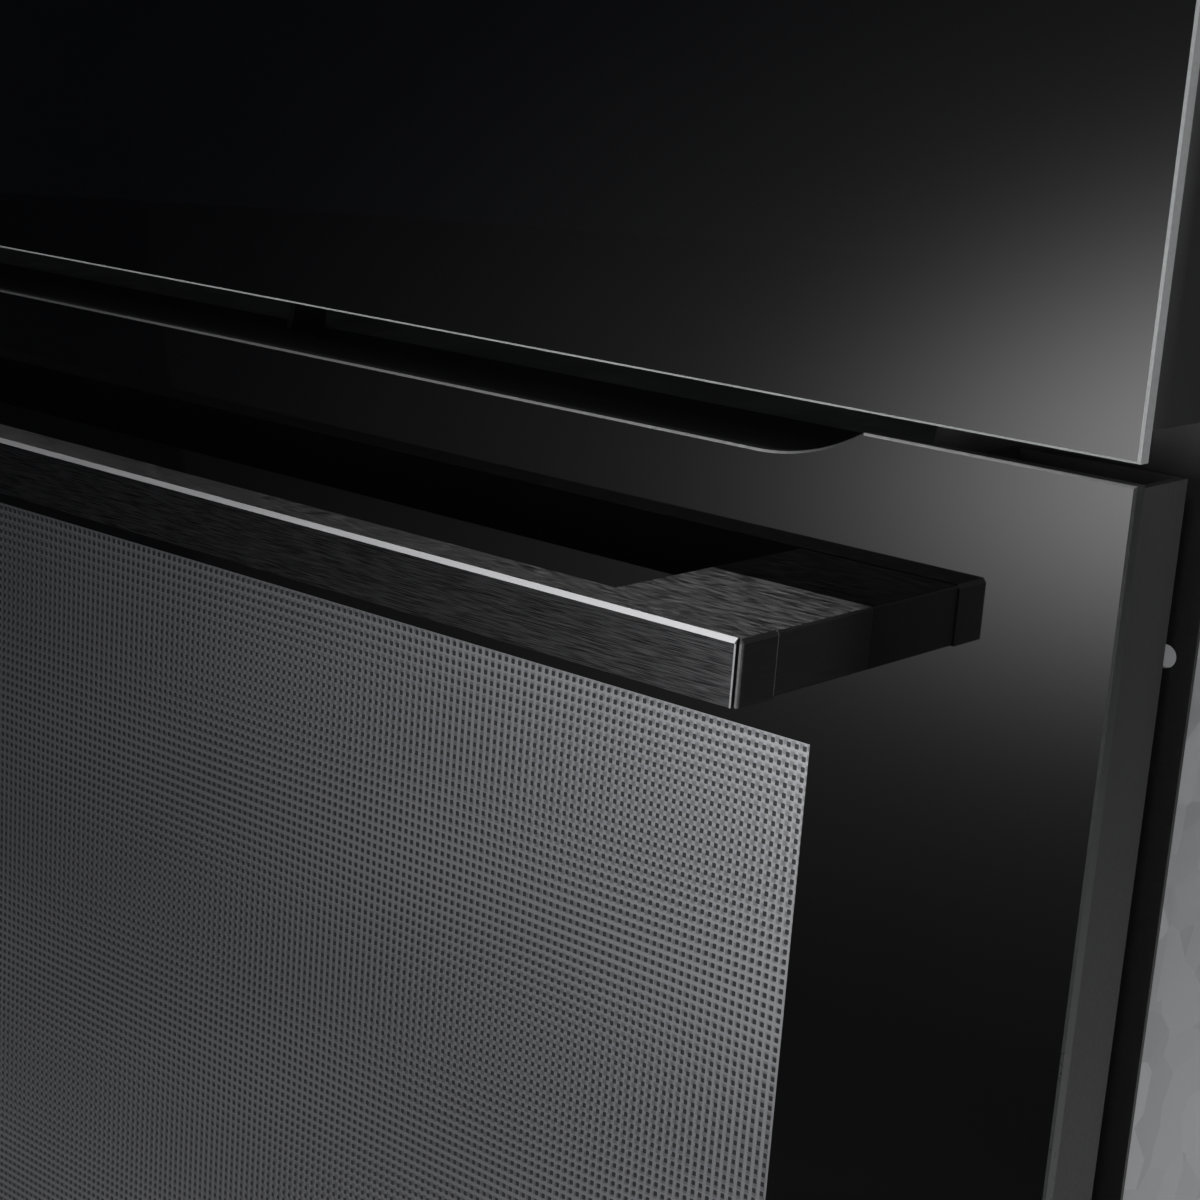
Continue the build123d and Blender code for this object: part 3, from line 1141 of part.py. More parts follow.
def blower_section(grow):
    """Scroll outline: a drum whose floor runs on as a flat outlet that joins the duct."""
    radius = BLOWER_RADIUS + grow
    axis = y(BLOWER_DEPTH)
    near = y(BLOWER_DEPTH - BLOWER_REACH)
    low = BLOWER_Z - radius
    high = DUCT_TOP - SHEET + grow
    start = -math.pi / 2
    end = math.pi + math.asin((BLOWER_Z - high) / radius)
    points = [(near, high), (near, low)]
    for i in range(DRUM_SIDES + 1):
        turn = start + i * (end - start) / DRUM_SIDES
        points.append((axis + radius * math.cos(turn), BLOWER_Z + radius * math.sin(turn)))
    return outline(points)


def blower_housing():
    half = BLOWER_LENGTH / 2
    casing = along_x(blower_section(SHEET) - blower_section(0), -half, half)
    inlet_depths = (BLOWER_DEPTH + BLOWER_LIP, BLOWER_DEPTH + 2 * BLOWER_RADIUS)
    inlet_zs = (BLOWER_Z + BLOWER_LIP, BLOWER_Z + 2 * BLOWER_RADIUS)
    casing -= block((SHEET - half, half - SHEET), inlet_depths, inlet_zs)
    casing += along_x(blower_section(SHEET), -half - SHEET, -half)
    casing += along_x(blower_section(SHEET), half, half + SHEET)
    casing -= rod_x(half - 1, half + SHEET + 1, BLOWER_DEPTH, BLOWER_Z, 2 * WHEEL_SHAFT)
    return casing - rod_x(-half - SHEET - 1, 1 - half, BLOWER_DEPTH, BLOWER_Z, WHEEL_SHAFT + RUNNING)


def blower_wheel():
    """A cage of blades between two end discs, on a stub shaft at each end."""
    half = BLOWER_LENGTH / 2 - 2 * VENT_RIB
    blades = Sketch()
    for i in range(WHEEL_BLADES):
        blade = Pos(WHEEL_RADIUS - WHEEL_BLADE_CHORD / 2, 0) * Rot(0, 0, FAN_BLADE_LEAN)
        blade = blade * Rectangle(WHEEL_BLADE_CHORD, SHEET)
        blades += Rot(0, 0, i * 360 / WHEEL_BLADES) * blade
    axis = Pos(y(BLOWER_DEPTH), BLOWER_Z)
    blades = axis * (blades & RegularPolygon(WHEEL_RADIUS, DRUM_SIDES))
    wheel = along_x(blades, SHEET / 2 - half, half - SHEET / 2)
    for x in (-half, half - SHEET):
        wheel += drum_x(x, x + SHEET, BLOWER_DEPTH, BLOWER_Z, WHEEL_RADIUS)
    left = -BLOWER_LENGTH / 2 - SHEET - 2 * WHEEL_SHAFT
    right = BLOWER_LENGTH / 2 + SHEET + BLOWER_MOTOR_LENGTH / 2
    wheel += rod_x(left, SHEET - half, BLOWER_DEPTH, BLOWER_Z, WHEEL_SHAFT)
    return wheel + rod_x(half - SHEET, right, BLOWER_DEPTH, BLOWER_Z, WHEEL_SHAFT)


def blower_motor():
    near = BLOWER_LENGTH / 2 + SHEET
    far = near + BLOWER_MOTOR_LENGTH
    section = Rectangle(BLOWER_MOTOR_SIZE, BLOWER_MOTOR_SIZE)
    section = chamfer(section.vertices(), BLOWER_MOTOR_SIZE / 6)
    motor = along_x(Pos(y(BLOWER_DEPTH), BLOWER_Z) * section, near, far)
    bore_end = near + BLOWER_MOTOR_LENGTH / 2 + FREE
    return motor - rod_x(near - 1, bore_end, BLOWER_DEPTH, BLOWER_Z, WHEEL_SHAFT + RUNNING)


save("air_channel", air_channel())
save("vent_grille", vent_grille())
save("blower_housing", blower_housing())
save("blower_wheel", blower_wheel())
save("blower_motor", blower_motor())


# Fascia and electrics
FASCIA_MIDDLE = FASCIA_BOTTOM + FASCIA_HEIGHT / 2


def fascia_glass():
    face = Pos(0, FASCIA_MIDDLE) * Rectangle(FRONT_WIDTH, FASCIA_HEIGHT)
    return polished(along_y(face, 0, GLASS))


def board_posts():
    """X and Z of the four posts that carry the control board."""
    half_x = CONTROL_BOARD_WIDTH / 2 - 2 * BOARD_POST_RADIUS
    half_z = CONTROL_BOARD_HEIGHT / 2 - 2 * BOARD_POST_RADIUS
    return [(x, FASCIA_MIDDLE + z) for x in (-half_x, half_x) for z in (-half_z, half_z)]


def fascia_carrier():
    """A tray behind the fascia glass, open to the back, with a window for the display."""
    height = FASCIA_HEIGHT - 2 * CARRIER_INSET
    centre = Pos(0, FASCIA_MIDDLE)
    carrier = along_y(centre * Rectangle(CARRIER_WIDTH, height), GLASS, FRAME_DEPTH)
    room = Rectangle(CARRIER_WIDTH - 2 * CARRIER_WALL, height - 2 * CARRIER_WALL)
    floor = GLASS + CARRIER_WALL
    carrier -= along_y(centre * room, floor, FRAME_DEPTH + 1)
    window = Rectangle(DISPLAY_WIDTH + 2 * FREE, DISPLAY_HEIGHT + 2 * FREE)
    carrier -= along_y(centre * window, GLASS - 1, floor + 1)
    for x, z in board_posts():
        carrier += post_y(x, floor, floor + BOARD_STANDOFF, z, BOARD_POST_RADIUS)
    return carrier


def display_module():
    face = Pos(0, FASCIA_MIDDLE) * Rectangle(DISPLAY_WIDTH, DISPLAY_HEIGHT)
    return along_y(face, GLASS, GLASS + DISPLAY_DEPTH)


def control_board():
    near = GLASS + CARRIER_WALL + BOARD_STANDOFF
    face = Pos(0, FASCIA_MIDDLE) * Rectangle(CONTROL_BOARD_WIDTH, CONTROL_BOARD_HEIGHT)
    board = along_y(face, near, near + BOARD)
    plug = Rectangle(CONTROL_BOARD_WIDTH / 8, CONTROL_BOARD_HEIGHT / 6)
    for step in (-1, 0, 1):
        place = Pos(step * CONTROL_BOARD_WIDTH / 4, FASCIA_MIDDLE - CONTROL_BOARD_HEIGHT / 4)
        board += along_y(place * plug, near + BOARD, near + BOARD + BOARD_STANDOFF / 2)
    return board


def power_board():
    """A board on spacers over the deck, with a transformer, three relays and a capacitor."""
    depth = FRAME_BACK + POWER_BOARD_REACH
    low = DECK_TOP + BOARD_STANDOFF
    top = low + BOARD
    centre = Pos(POWER_BOARD_X, y(depth))
    board = along_z(centre * Rectangle(POWER_BOARD_WIDTH, POWER_BOARD_DEPTH), low, top)
    quarter_x = POWER_BOARD_WIDTH / 4
    quarter_y = POWER_BOARD_DEPTH / 4
    for x in (-1.8 * quarter_x, 1.8 * quarter_x):
        for step in (-1.8 * quarter_y, 1.8 * quarter_y):
            board += post_z(POWER_BOARD_X + x, depth + step, DECK_TOP, low, BOARD_POST_RADIUS)
    transformer = Pos(-quarter_x, 0) * Rectangle(quarter_x, 1.5 * quarter_y)
    board += along_z(centre * transformer, top, top + 3 * BOARD_STANDOFF)
    for i in range(3):
        relay = Pos(quarter_x, (i - 1) * quarter_y) * Rectangle(quarter_x / 2, quarter_y / 2)
        board += along_z(centre * relay, top, top + 1.5 * BOARD_STANDOFF)
    return board + post_z(POWER_BOARD_X, depth, top, top + 2 * BOARD_STANDOFF, 2 * BOARD_POST_RADIUS)


def terminal_block():
    """The mains terminal, which shows through a window in the rear panel."""
    inside = BODY_BACK - SHEET
    centre = Pos(TERMINAL_X, TERMINAL_Z)
    core = along_y(centre * Rectangle(TERMINAL_WIDTH, TERMINAL_HEIGHT), BODY_BACK - TERMINAL_DEPTH, BODY_BACK)
    lip = Rectangle(TERMINAL_WIDTH + 2 * TERMINAL_LIP, TERMINAL_HEIGHT + 2 * TERMINAL_LIP)
    core += along_y(centre * lip, inside - 2 * SHEET, inside)
    wells = Sketch()
    for step in (-1, 0, 1):
        wells += Pos(step * TERMINAL_WIDTH / 3.5, 0) * Rectangle(TERMINAL_WIDTH / 5, TERMINAL_HEIGHT / 2)
    return core - along_y(centre * wells, BODY_BACK - TERMINAL_DEPTH / 2, BODY_BACK + 1)


save("fascia_glass", fascia_glass())
save("fascia_carrier", fascia_carrier())
save("display_module", display_module())
save("control_board", control_board())
save("power_board", power_board())
save("terminal_block", terminal_block())
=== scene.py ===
# %% [markdown]
# # A built-in oven with a black glass front
# The oven is a steel box with a drop-down door. What the eye meets is almost only its front: a black glass
# door, a dotted window, a dark bar handle and a glass fascia over a thin air slot. The frame holds the
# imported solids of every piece, in metres, with the door facing -Y. This script dresses them.

# %% Load the frame
import json
import math

import bmesh
import bpy
from mathutils import Matrix, Quaternion, Vector


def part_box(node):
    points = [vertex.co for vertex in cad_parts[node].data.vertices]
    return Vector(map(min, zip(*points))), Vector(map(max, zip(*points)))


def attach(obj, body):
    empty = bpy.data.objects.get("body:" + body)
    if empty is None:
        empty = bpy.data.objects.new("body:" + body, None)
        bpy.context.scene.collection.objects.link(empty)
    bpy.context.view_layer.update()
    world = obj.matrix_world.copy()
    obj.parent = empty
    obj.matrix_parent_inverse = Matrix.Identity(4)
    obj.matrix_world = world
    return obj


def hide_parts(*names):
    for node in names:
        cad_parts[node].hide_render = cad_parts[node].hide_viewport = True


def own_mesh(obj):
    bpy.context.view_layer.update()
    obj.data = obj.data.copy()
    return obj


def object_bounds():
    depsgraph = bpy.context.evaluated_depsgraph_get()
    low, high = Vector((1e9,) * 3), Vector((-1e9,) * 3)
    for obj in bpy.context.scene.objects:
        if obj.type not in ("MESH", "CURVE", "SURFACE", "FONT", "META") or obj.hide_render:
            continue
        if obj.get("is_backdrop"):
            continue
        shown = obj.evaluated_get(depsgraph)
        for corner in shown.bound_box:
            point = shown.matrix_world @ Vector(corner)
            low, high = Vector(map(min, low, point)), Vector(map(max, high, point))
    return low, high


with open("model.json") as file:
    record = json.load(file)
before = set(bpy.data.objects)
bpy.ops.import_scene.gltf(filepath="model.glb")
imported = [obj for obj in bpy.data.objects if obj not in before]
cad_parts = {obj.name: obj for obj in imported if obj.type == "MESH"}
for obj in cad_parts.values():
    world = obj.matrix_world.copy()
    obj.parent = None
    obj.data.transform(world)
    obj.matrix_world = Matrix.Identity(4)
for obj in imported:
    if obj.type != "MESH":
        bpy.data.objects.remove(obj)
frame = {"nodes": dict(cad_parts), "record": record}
cad_low, cad_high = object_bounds()
scene = bpy.context.scene

# %% [markdown]
# ## Camera
# The photograph is a close view of the upper right part of the front, taken from the right and a little
# above. The lens was worked out from the glass edge and the rows of dots, whose real sizes are known, so
# the camera stands on the spot where those sizes fit. A camera looks along its own -Z axis, so its matrix
# takes three axes as columns.

# %% Set up the camera
CAMERA_PLACE = Vector((0.4923, -0.6576, 0.5588))
camera_right = Vector((0.76429, 0.64081, 0.07228)).normalized()
camera_ahead = Vector((-0.61059, 0.75516, -0.23855)).normalized()
camera_up = camera_right.cross(camera_ahead)
lens = bpy.data.cameras.new("front_lens")
lens.sensor_width = 36.0
lens.lens = 70.99
lens.clip_start = 0.02
camera = bpy.data.objects.new("front_camera", lens)
axes = Matrix((camera_right, camera_up, -camera_ahead)).transposed()
camera.matrix_world = Matrix.Translation(CAMERA_PLACE) @ axes.to_4x4()
scene.collection.objects.link(camera)
scene.camera = camera
scene.view_settings.view_transform = "Standard"
print("camera at", [round(c, 3) for c in CAMERA_PLACE], "with a lens of", lens.lens, "mm")

# %% [markdown]
# ## Floor and studio light
# Black glass has hardly any colour of its own: it shows the room. So the light is built for what the glass
# mirrors. The room is dim and even, and a soft glow stands low in front, which gives the right half of the
# front its grey sheen. Soft boxes at both sides, behind and above light the steel body, and two smaller
# ones in front reach the handle and the window. One large lamp could light all of this, but the glass would
# show it, so there are several, hung where the door does not mirror them to the camera.

# %% A soft box
def softbox(name, place, target, size, radiance, spread=180.0, roll=0.0):
    """A rectangular lamp that shows, seen straight on, as bright as a surface of this radiance."""
    lamp = bpy.data.lights.new(name, "AREA")
    lamp.shape = "RECTANGLE"
    lamp.size, lamp.size_y = size
    lamp.spread = math.radians(spread)
    gathered = 1 - lamp.spread / 2 / math.tan(lamp.spread / 2)
    lamp.energy = radiance * math.pi * size[0] * size[1] * gathered
    box = bpy.data.objects.new(name, lamp)
    box.location = place
    aim = (Vector(target) - Vector(place)).to_track_quat("-Z", "Y")
    box.rotation_euler = (aim @ Quaternion((0, 0, 1), math.radians(roll))).to_euler()
    scene.collection.objects.link(box)
    return box


softbox("right_side", (1.65, 0.15, 1.15), (0.28, 0.35, 0.25), (0.7, 0.9), 14.0, 62)
softbox("left_side", (-1.65, 0.15, 1.15), (-0.28, 0.35, 0.25), (0.7, 0.9), 14.0, 62)
softbox("behind", (0.3, 1.8, 0.85), (0.0, 0.3, 0.25), (1.2, 0.8), 8.0, 80)
softbox("top", (0.0, 0.6, 1.8), (0.0, 0.3, 0.55), (0.8, 0.7), 8.0, 56)
softbox("front_snoot", (0.9, -2.1, 1.6), (0.2, -0.1, 0.42), (0.4, 0.4), 22.0, 24)
softbox("front_right", (1.4, -1.0, 0.95), (0.25, -0.3, 0.45), (0.6, 0.6), 4.0, 50)

# %% [markdown]
# The glow in front, the fill beside it and the lamp over the handle are not plain boxes. A hard rectangle
# would draw its outline in the black glass, so they fade from the middle outwards like a lamp behind a
# large diffuser: a bell curve of the distance from the lamp's middle drives how strongly each point of the
# lamp shines, and a weak wider bell can add a skirt around it.

# %% Lamps that fade outwards
SKIRT_WIDTH = 2.4


def fading_lamp(name, place, target, size, radiance, width, spread=180.0, roll=0.0, skirt=0.075):
    """A soft box whose light falls off from its middle with a bell curve of these two widths, in metres."""
    lamp = softbox(name, place, target, size, radiance, spread, roll).data
    lamp.use_nodes = True
    nodes = lamp.node_tree.nodes
    link = lamp.node_tree.links.new
    spot = nodes.new("ShaderNodeNewGeometry")
    offset = nodes.new("ShaderNodeVectorMath")
    offset.operation = "MULTIPLY_ADD"
    reach = (size[0] / width[0], size[1] / width[1], 0.0)
    offset.inputs[1].default_value = reach
    offset.inputs[2].default_value = [-r / 2 for r in reach]
    squared = nodes.new("ShaderNodeVectorMath")
    squared.operation = "DOT_PRODUCT"
    link(spot.outputs["Parametric"], offset.inputs[0])
    link(offset.outputs["Vector"], squared.inputs[0])
    link(offset.outputs["Vector"], squared.inputs[1])
    bells = []
    for share, wider in ((1 - skirt, 1.0), (skirt, SKIRT_WIDTH)):
        fade = nodes.new("ShaderNodeMath")
        fade.operation = "MULTIPLY"
        fade.inputs[1].default_value = -0.5 / wider ** 2
        bell = nodes.new("ShaderNodeMath")
        bell.operation = "EXPONENT"
        part = nodes.new("ShaderNodeMath")
        part.operation = "MULTIPLY"
        part.inputs[1].default_value = share
        link(squared.outputs["Value"], fade.inputs[0])
        link(fade.outputs["Value"], bell.inputs[0])
        link(bell.outputs["Value"], part.inputs[0])
        bells.append(part)
    total = nodes.new("ShaderNodeMath")
    total.operation = "ADD"
    link(bells[0].outputs["Value"], total.inputs[0])
    link(bells[1].outputs["Value"], total.inputs[1])
    link(total.outputs["Value"], nodes["Emission"].inputs["Strength"])


fading_lamp(
    "low_glow", (0.15, -0.7115, 0.424), (0.15, 0.0, 0.424), (1.3, 0.62), 5.5, (0.109, 0.051), roll=16.6,
)
fading_lamp("overhead", (-0.56, -0.42, 1.71), (0.40, -0.3, 0.45), (1.4, 1.4), 14.0, (0.2, 0.2), 55)
fading_lamp("low_fill", (0.25, -0.7, 0.4), (0.25, 0.0, 0.4), (0.34, 0.6), 24.0, (0.05, 0.09), 120, skirt=0.0)

# %% [markdown]
# The oven stands on a wide pale disc, and the world around it is a dim, even, slightly blue grey. A brighter
# world would be the quick way to a light picture, but the glass front would mirror all of it and turn grey.

# %% World and floor
DIM_ROOM = (0.019, 0.021, 0.026, 1.0)
PALE_GREY = (0.47, 0.47, 0.465, 1.0)
FLOOR_RADIUS = 6.0
FLOOR_GAP = 0.0005
world = bpy.data.worlds.new("dim_studio")
world.use_nodes = True
world.node_tree.nodes["Background"].inputs["Color"].default_value = DIM_ROOM
scene.world = world


def add_mesh(name, bm):
    """Turns a bmesh into an object in the scene."""
    mesh = bpy.data.meshes.new(name)
    bmesh.ops.recalc_face_normals(bm, faces=bm.faces)
    bm.to_mesh(mesh)
    bm.free()
    obj = bpy.data.objects.new(name, mesh)
    scene.collection.objects.link(obj)
    return obj


bm = bmesh.new()
bmesh.ops.create_circle(bm, cap_ends=True, segments=96, radius=FLOOR_RADIUS)
floor = add_mesh("studio_floor", bm)
floor.location.z = cad_low.z - FLOOR_GAP
floor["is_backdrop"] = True
pale = bpy.data.materials.new("pale_floor")
pale.use_nodes = True
paint = pale.node_tree.nodes["Principled BSDF"]
paint.inputs["Base Color"].default_value = PALE_GREY
paint.inputs["Roughness"].default_value = 0.9
floor.data.materials.append(pale)
print("floor at", round(floor.location.z, 4))

# %% [markdown]
# ## A shared finish
# Real surfaces are never one flat colour: paint has faint cloudiness, steel has rolling streaks, plastic
# has a fine grain. One node group makes all of these. It mixes two close tones by a stretched noise and
# hands on a roughness and a height from the same noise, so each material only sets its own tones, stretch
# and strength.

# %% A node group with named sockets
def new_group(name, takes, gives):
    """An empty shader node group with these inputs and outputs."""
    group = bpy.data.node_groups.new(name, "ShaderNodeTree")
    for label, kind, default in takes:
        socket = group.interface.new_socket(label, in_out="INPUT", socket_type="NodeSocket" + kind)
        socket.default_value = default
    for label, kind in gives:
        group.interface.new_socket(label, in_out="OUTPUT", socket_type="NodeSocket" + kind)
    return group


grain_takes = (
    ("Tone A", "Color", (0.5, 0.5, 0.5, 1.0)),
    ("Tone B", "Color", (0.6, 0.6, 0.6, 1.0)),
    ("Stretch", "Vector", (1.0, 1.0, 1.0)),
    ("Scale", "Float", 200.0),
    ("Cloud Scale", "Float", 6.0),
    ("Cloud Share", "Float", 0.4),
    ("Width", "Float", 0.2),
    ("Smooth", "Float", 0.3),
    ("Rough", "Float", 0.5),
)
grain_gives = (("Color", "Color"), ("Roughness", "Float"), ("Height", "Float"))
grain = new_group("surface_grain", grain_takes, grain_gives)
print("group surface_grain with", len(grain_takes), "inputs and", len(grain_gives), "outputs")

# %% Grain and cloudiness inside the group
n = grain.nodes
wire = grain.links.new
given = n.new("NodeGroupInput")
result = n.new("NodeGroupOutput")
where = n.new("ShaderNodeTexCoord")
pulled = n.new("ShaderNodeVectorMath")
pulled.operation = "MULTIPLY"
fine = n.new("ShaderNodeTexNoise")
fine.inputs["Detail"].default_value = 4.0
fine.inputs["Roughness"].default_value = 0.6
cloud = n.new("ShaderNodeTexNoise")
cloud.inputs["Detail"].default_value = 2.0
both = n.new("ShaderNodeMix")
both.data_type = "FLOAT"
low_end = n.new("ShaderNodeMath")
low_end.operation = "SUBTRACT"
low_end.inputs[0].default_value = 0.5
high_end = n.new("ShaderNodeMath")
high_end.operation = "ADD"
high_end.inputs[0].default_value = 0.5
steep = n.new("ShaderNodeMapRange")
tone = n.new("ShaderNodeMix")
tone.data_type = "RGBA"
gloss = n.new("ShaderNodeMix")
gloss.data_type = "FLOAT"
wire(where.outputs["Object"], pulled.inputs[0])
wire(given.outputs["Stretch"], pulled.inputs[1])
wire(pulled.outputs["Vector"], fine.inputs["Vector"])
wire(given.outputs["Scale"], fine.inputs["Scale"])
wire(where.outputs["Object"], cloud.inputs["Vector"])
wire(given.outputs["Cloud Scale"], cloud.inputs["Scale"])
wire(given.outputs["Cloud Share"], both.inputs["Factor"])
wire(fine.outputs["Fac"], both.inputs["A"])
wire(cloud.outputs["Fac"], both.inputs["B"])
wire(given.outputs["Width"], low_end.inputs[1])
wire(given.outputs["Width"], high_end.inputs[1])
wire(both.outputs["Result"], steep.inputs["Value"])
wire(low_end.outputs["Value"], steep.inputs["From Min"])
wire(high_end.outputs["Value"], steep.inputs["From Max"])
wire(steep.outputs["Result"], tone.inputs["Factor"])
wire(given.outputs["Tone A"], tone.inputs["A"])
wire(given.outputs["Tone B"], tone.inputs["B"])
wire(steep.outputs["Result"], gloss.inputs["Factor"])
wire(given.outputs["Smooth"], gloss.inputs["A"])
wire(given.outputs["Rough"], gloss.inputs["B"])
wire(tone.outputs["Result"], result.inputs["Color"])
wire(gloss.outputs["Result"], result.inputs["Roughness"])
wire(fine.outputs["Fac"], result.inputs["Height"])
print("group surface_grain with", len(grain.nodes), "nodes")

# %% A material with that grain
RELIEF_DEPTH = 0.0002
BRUSH_WIDTH = 0.11
BRUSH_PULL = 0.92
finish = {}


def new_finish(name, group, metal):
    """A material whose colour and roughness come from a node group."""
    material = bpy.data.materials.new(name)
    material.use_nodes = True
    finish[name] = material
    tree = material.node_tree
    shader = tree.nodes["Principled BSDF"]
    shader.inputs["Metallic"].default_value = metal
    pattern = tree.nodes.new("ShaderNodeGroup")
    pattern.node_tree = group
    tree.links.new(pattern.outputs["Color"], shader.inputs["Base Color"])
    tree.links.new(pattern.outputs["Roughness"], shader.inputs["Roughness"])
    return tree, shader, pattern


def grained(
    name, tone_a, tone_b, rough, metal=0.0, scale=200.0, stretch=(1, 1, 1), cloud=6.0, bump=0.0, brush=None,
):
    """A material of the grain group, with relief where bump is set and brushed along the axis in brush."""
    tree, shader, noise = new_finish(name, grain, metal)
    noise.inputs["Tone A"].default_value = (*tone_a, 1.0)
    noise.inputs["Tone B"].default_value = (*tone_b, 1.0)
    noise.inputs["Stretch"].default_value = stretch
    noise.inputs["Scale"].default_value = scale
    noise.inputs["Cloud Scale"].default_value = cloud
    noise.inputs["Smooth"].default_value, noise.inputs["Rough"].default_value = rough
    if bump:
        relief = tree.nodes.new("ShaderNodeBump")
        relief.inputs["Strength"].default_value = bump
        relief.inputs["Distance"].default_value = RELIEF_DEPTH
        tree.links.new(noise.outputs["Height"], relief.inputs["Height"])
        tree.links.new(relief.outputs["Normal"], shader.inputs["Normal"])
    if brush:
        noise.inputs["Cloud Share"].default_value = 0.0
        noise.inputs["Width"].default_value = BRUSH_WIDTH
        across = tree.nodes.new("ShaderNodeTangent")
        across.direction_type = "RADIAL"
        across.axis = brush
        shader.inputs["Anisotropic"].default_value = BRUSH_PULL
        tree.links.new(across.outputs["Tangent"], shader.inputs["Tangent"])


# %% [markdown]
# Each finish is then one call: two tones, the range of its roughness, how metallic it is and the size of its
# grain. The handle needs the most of them. Its brushed faces have streaks along the bar, which stretch the
# highlight across them. The tops and ends take darker copies of that brushed metal, painted shade, and the
# cut edges are plain metal, paler along the top as a painted highlight and darker at the ends, painted
# shade.

# %% Finishes of the glass and the handle
grained("black_glass", (0.0008, 0.0008, 0.001), (0.0012, 0.0012, 0.0014), (0.012, 0.03), scale=40, cloud=5)
grained("glass_edge", (0.026, 0.027, 0.027), (0.042, 0.043, 0.043), (0.25, 0.4), 0.2, scale=500, cloud=20)
grained("ground_edge", (0.24, 0.25, 0.25), (0.34, 0.35, 0.35), (0.5, 0.7), scale=900, cloud=20)
grained(
    "brushed_steel", (0.02, 0.02, 0.021), (0.12, 0.12, 0.123), (0.3, 0.4), 1.0, 6500, (0.022, 1, 1),
    bump=0.25, brush="X",
)
# A darker copy of the brushed steel for the top faces, painted shade, with its own streaks.
grained(
    "brushed_top_painted_shade", (0.003, 0.003, 0.0033), (0.105, 0.105, 0.107), (0.34, 0.42), 1.0, 2000, (0.09, 1, 1),
    brush="X",
)
# A darker copy of the brushed metal for the ends and sides, painted shade, with streaks across.
grained(
    "brushed_ends_painted_shade", (0.022, 0.022, 0.023), (0.04, 0.04, 0.041), (0.4, 0.5), 0.7, 2400, (1, 0.06, 1),
    bump=0.3,
)
# A darker copy of the cut metal for the thin facet at the bar's ends, painted shade.
grained("soft_cut_painted_shade", (0.036, 0.036, 0.037), (0.05, 0.05, 0.052), (0.3, 0.36), 1.0, 900)
# A paler copy of the cut metal for the top cut and the seams, a painted highlight.
grained("bright_cut_painted_highlight", (0.24, 0.24, 0.245), (0.3, 0.3, 0.305), (0.32, 0.38), 1.0, 900, (0.05, 1, 1))
print("finishes of the front:", ", ".join(finish))

# %% Finishes of the other pieces
grained("zinc_steel", (0.42, 0.42, 0.41), (0.55, 0.55, 0.53), (0.3, 0.5), 1.0, 300, bump=0.15)
grained("spring_steel", (0.3, 0.3, 0.31), (0.42, 0.42, 0.43), (0.25, 0.4), 1.0, 500)
grained("black_steel", (0.012, 0.012, 0.013), (0.022, 0.022, 0.023), (0.4, 0.55), scale=900, bump=0.3)
grained("black_plastic", (0.014, 0.014, 0.015), (0.024, 0.024, 0.025), (0.42, 0.58), scale=1500, bump=0.3)
grained("white_plastic", (0.6, 0.6, 0.58), (0.7, 0.7, 0.68), (0.35, 0.5), scale=900, bump=0.15)
grained("gasket_rubber", (0.03, 0.028, 0.027), (0.05, 0.047, 0.045), (0.6, 0.8), scale=1200, bump=0.5)
grained(
    "glass_wool", (0.62, 0.58, 0.42), (0.8, 0.77, 0.62), (0.9, 1.0), scale=260, stretch=(1, 1, 3), bump=1.0,
)
grained("heater_tube", (0.16, 0.13, 0.11), (0.28, 0.24, 0.21), (0.4, 0.6), 0.8, 120, bump=0.2)
grained("ceramic", (0.66, 0.64, 0.58), (0.78, 0.76, 0.7), (0.45, 0.65), scale=500, bump=0.2)
grained("chrome_wire", (0.66, 0.66, 0.67), (0.78, 0.78, 0.79), (0.1, 0.22), 1.0, 150)
grained("motor_steel", (0.26, 0.26, 0.27), (0.4, 0.4, 0.41), (0.35, 0.5), 1.0, 300, bump=0.1)
grained("wheel_aluminium", (0.6, 0.6, 0.61), (0.72, 0.72, 0.73), (0.25, 0.4), 1.0, 300)
grained("circuit_board", (0.01, 0.08, 0.035), (0.016, 0.12, 0.05), (0.3, 0.45), scale=300, bump=0.1)
print("finishes:", ", ".join(sorted(finish)))

# %% [markdown]
# ## Zinc crystals and enamel specks
# Sheet steel dipped in zinc is covered with flat crystals, each catching the light a little differently,
# and the dark enamel of an oven carries fine pale specks. Both are cells: a Voronoi texture gives every
# cell its own random shade for the zinc, and the distance to a cell's middle draws the specks.

# %% A node group for cells
cell_takes = (
    ("Tone A", "Color", (0.4, 0.4, 0.4, 1.0)),
    ("Tone B", "Color", (0.5, 0.5, 0.5, 1.0)),
    ("Speck", "Color", (0.6, 0.6, 0.6, 1.0)),
    ("Scale", "Float", 120.0),
    ("Speck Size", "Float", 0.0),
    ("Smooth", "Float", 0.3),
    ("Rough", "Float", 0.5),
)
cells = new_group("cell_pattern", cell_takes, (("Color", "Color"), ("Roughness", "Float")))
n = cells.nodes
wire = cells.links.new
given = n.new("NodeGroupInput")
result = n.new("NodeGroupOutput")
where = n.new("ShaderNodeTexCoord")
crystal = n.new("ShaderNodeTexVoronoi")
shade_of = n.new("ShaderNodeSeparateColor")
tone = n.new("ShaderNodeMix")
tone.data_type = "RGBA"
inside = n.new("ShaderNodeMath")
inside.operation = "LESS_THAN"
specked = n.new("ShaderNodeMix")
specked.data_type = "RGBA"
gloss = n.new("ShaderNodeMix")
gloss.data_type = "FLOAT"
wire(where.outputs["Object"], crystal.inputs["Vector"])
wire(given.outputs["Scale"], crystal.inputs["Scale"])
wire(crystal.outputs["Color"], shade_of.inputs["Color"])
wire(shade_of.outputs["Red"], tone.inputs["Factor"])
wire(given.outputs["Tone A"], tone.inputs["A"])
wire(given.outputs["Tone B"], tone.inputs["B"])
wire(crystal.outputs["Distance"], inside.inputs[0])
wire(given.outputs["Speck Size"], inside.inputs[1])
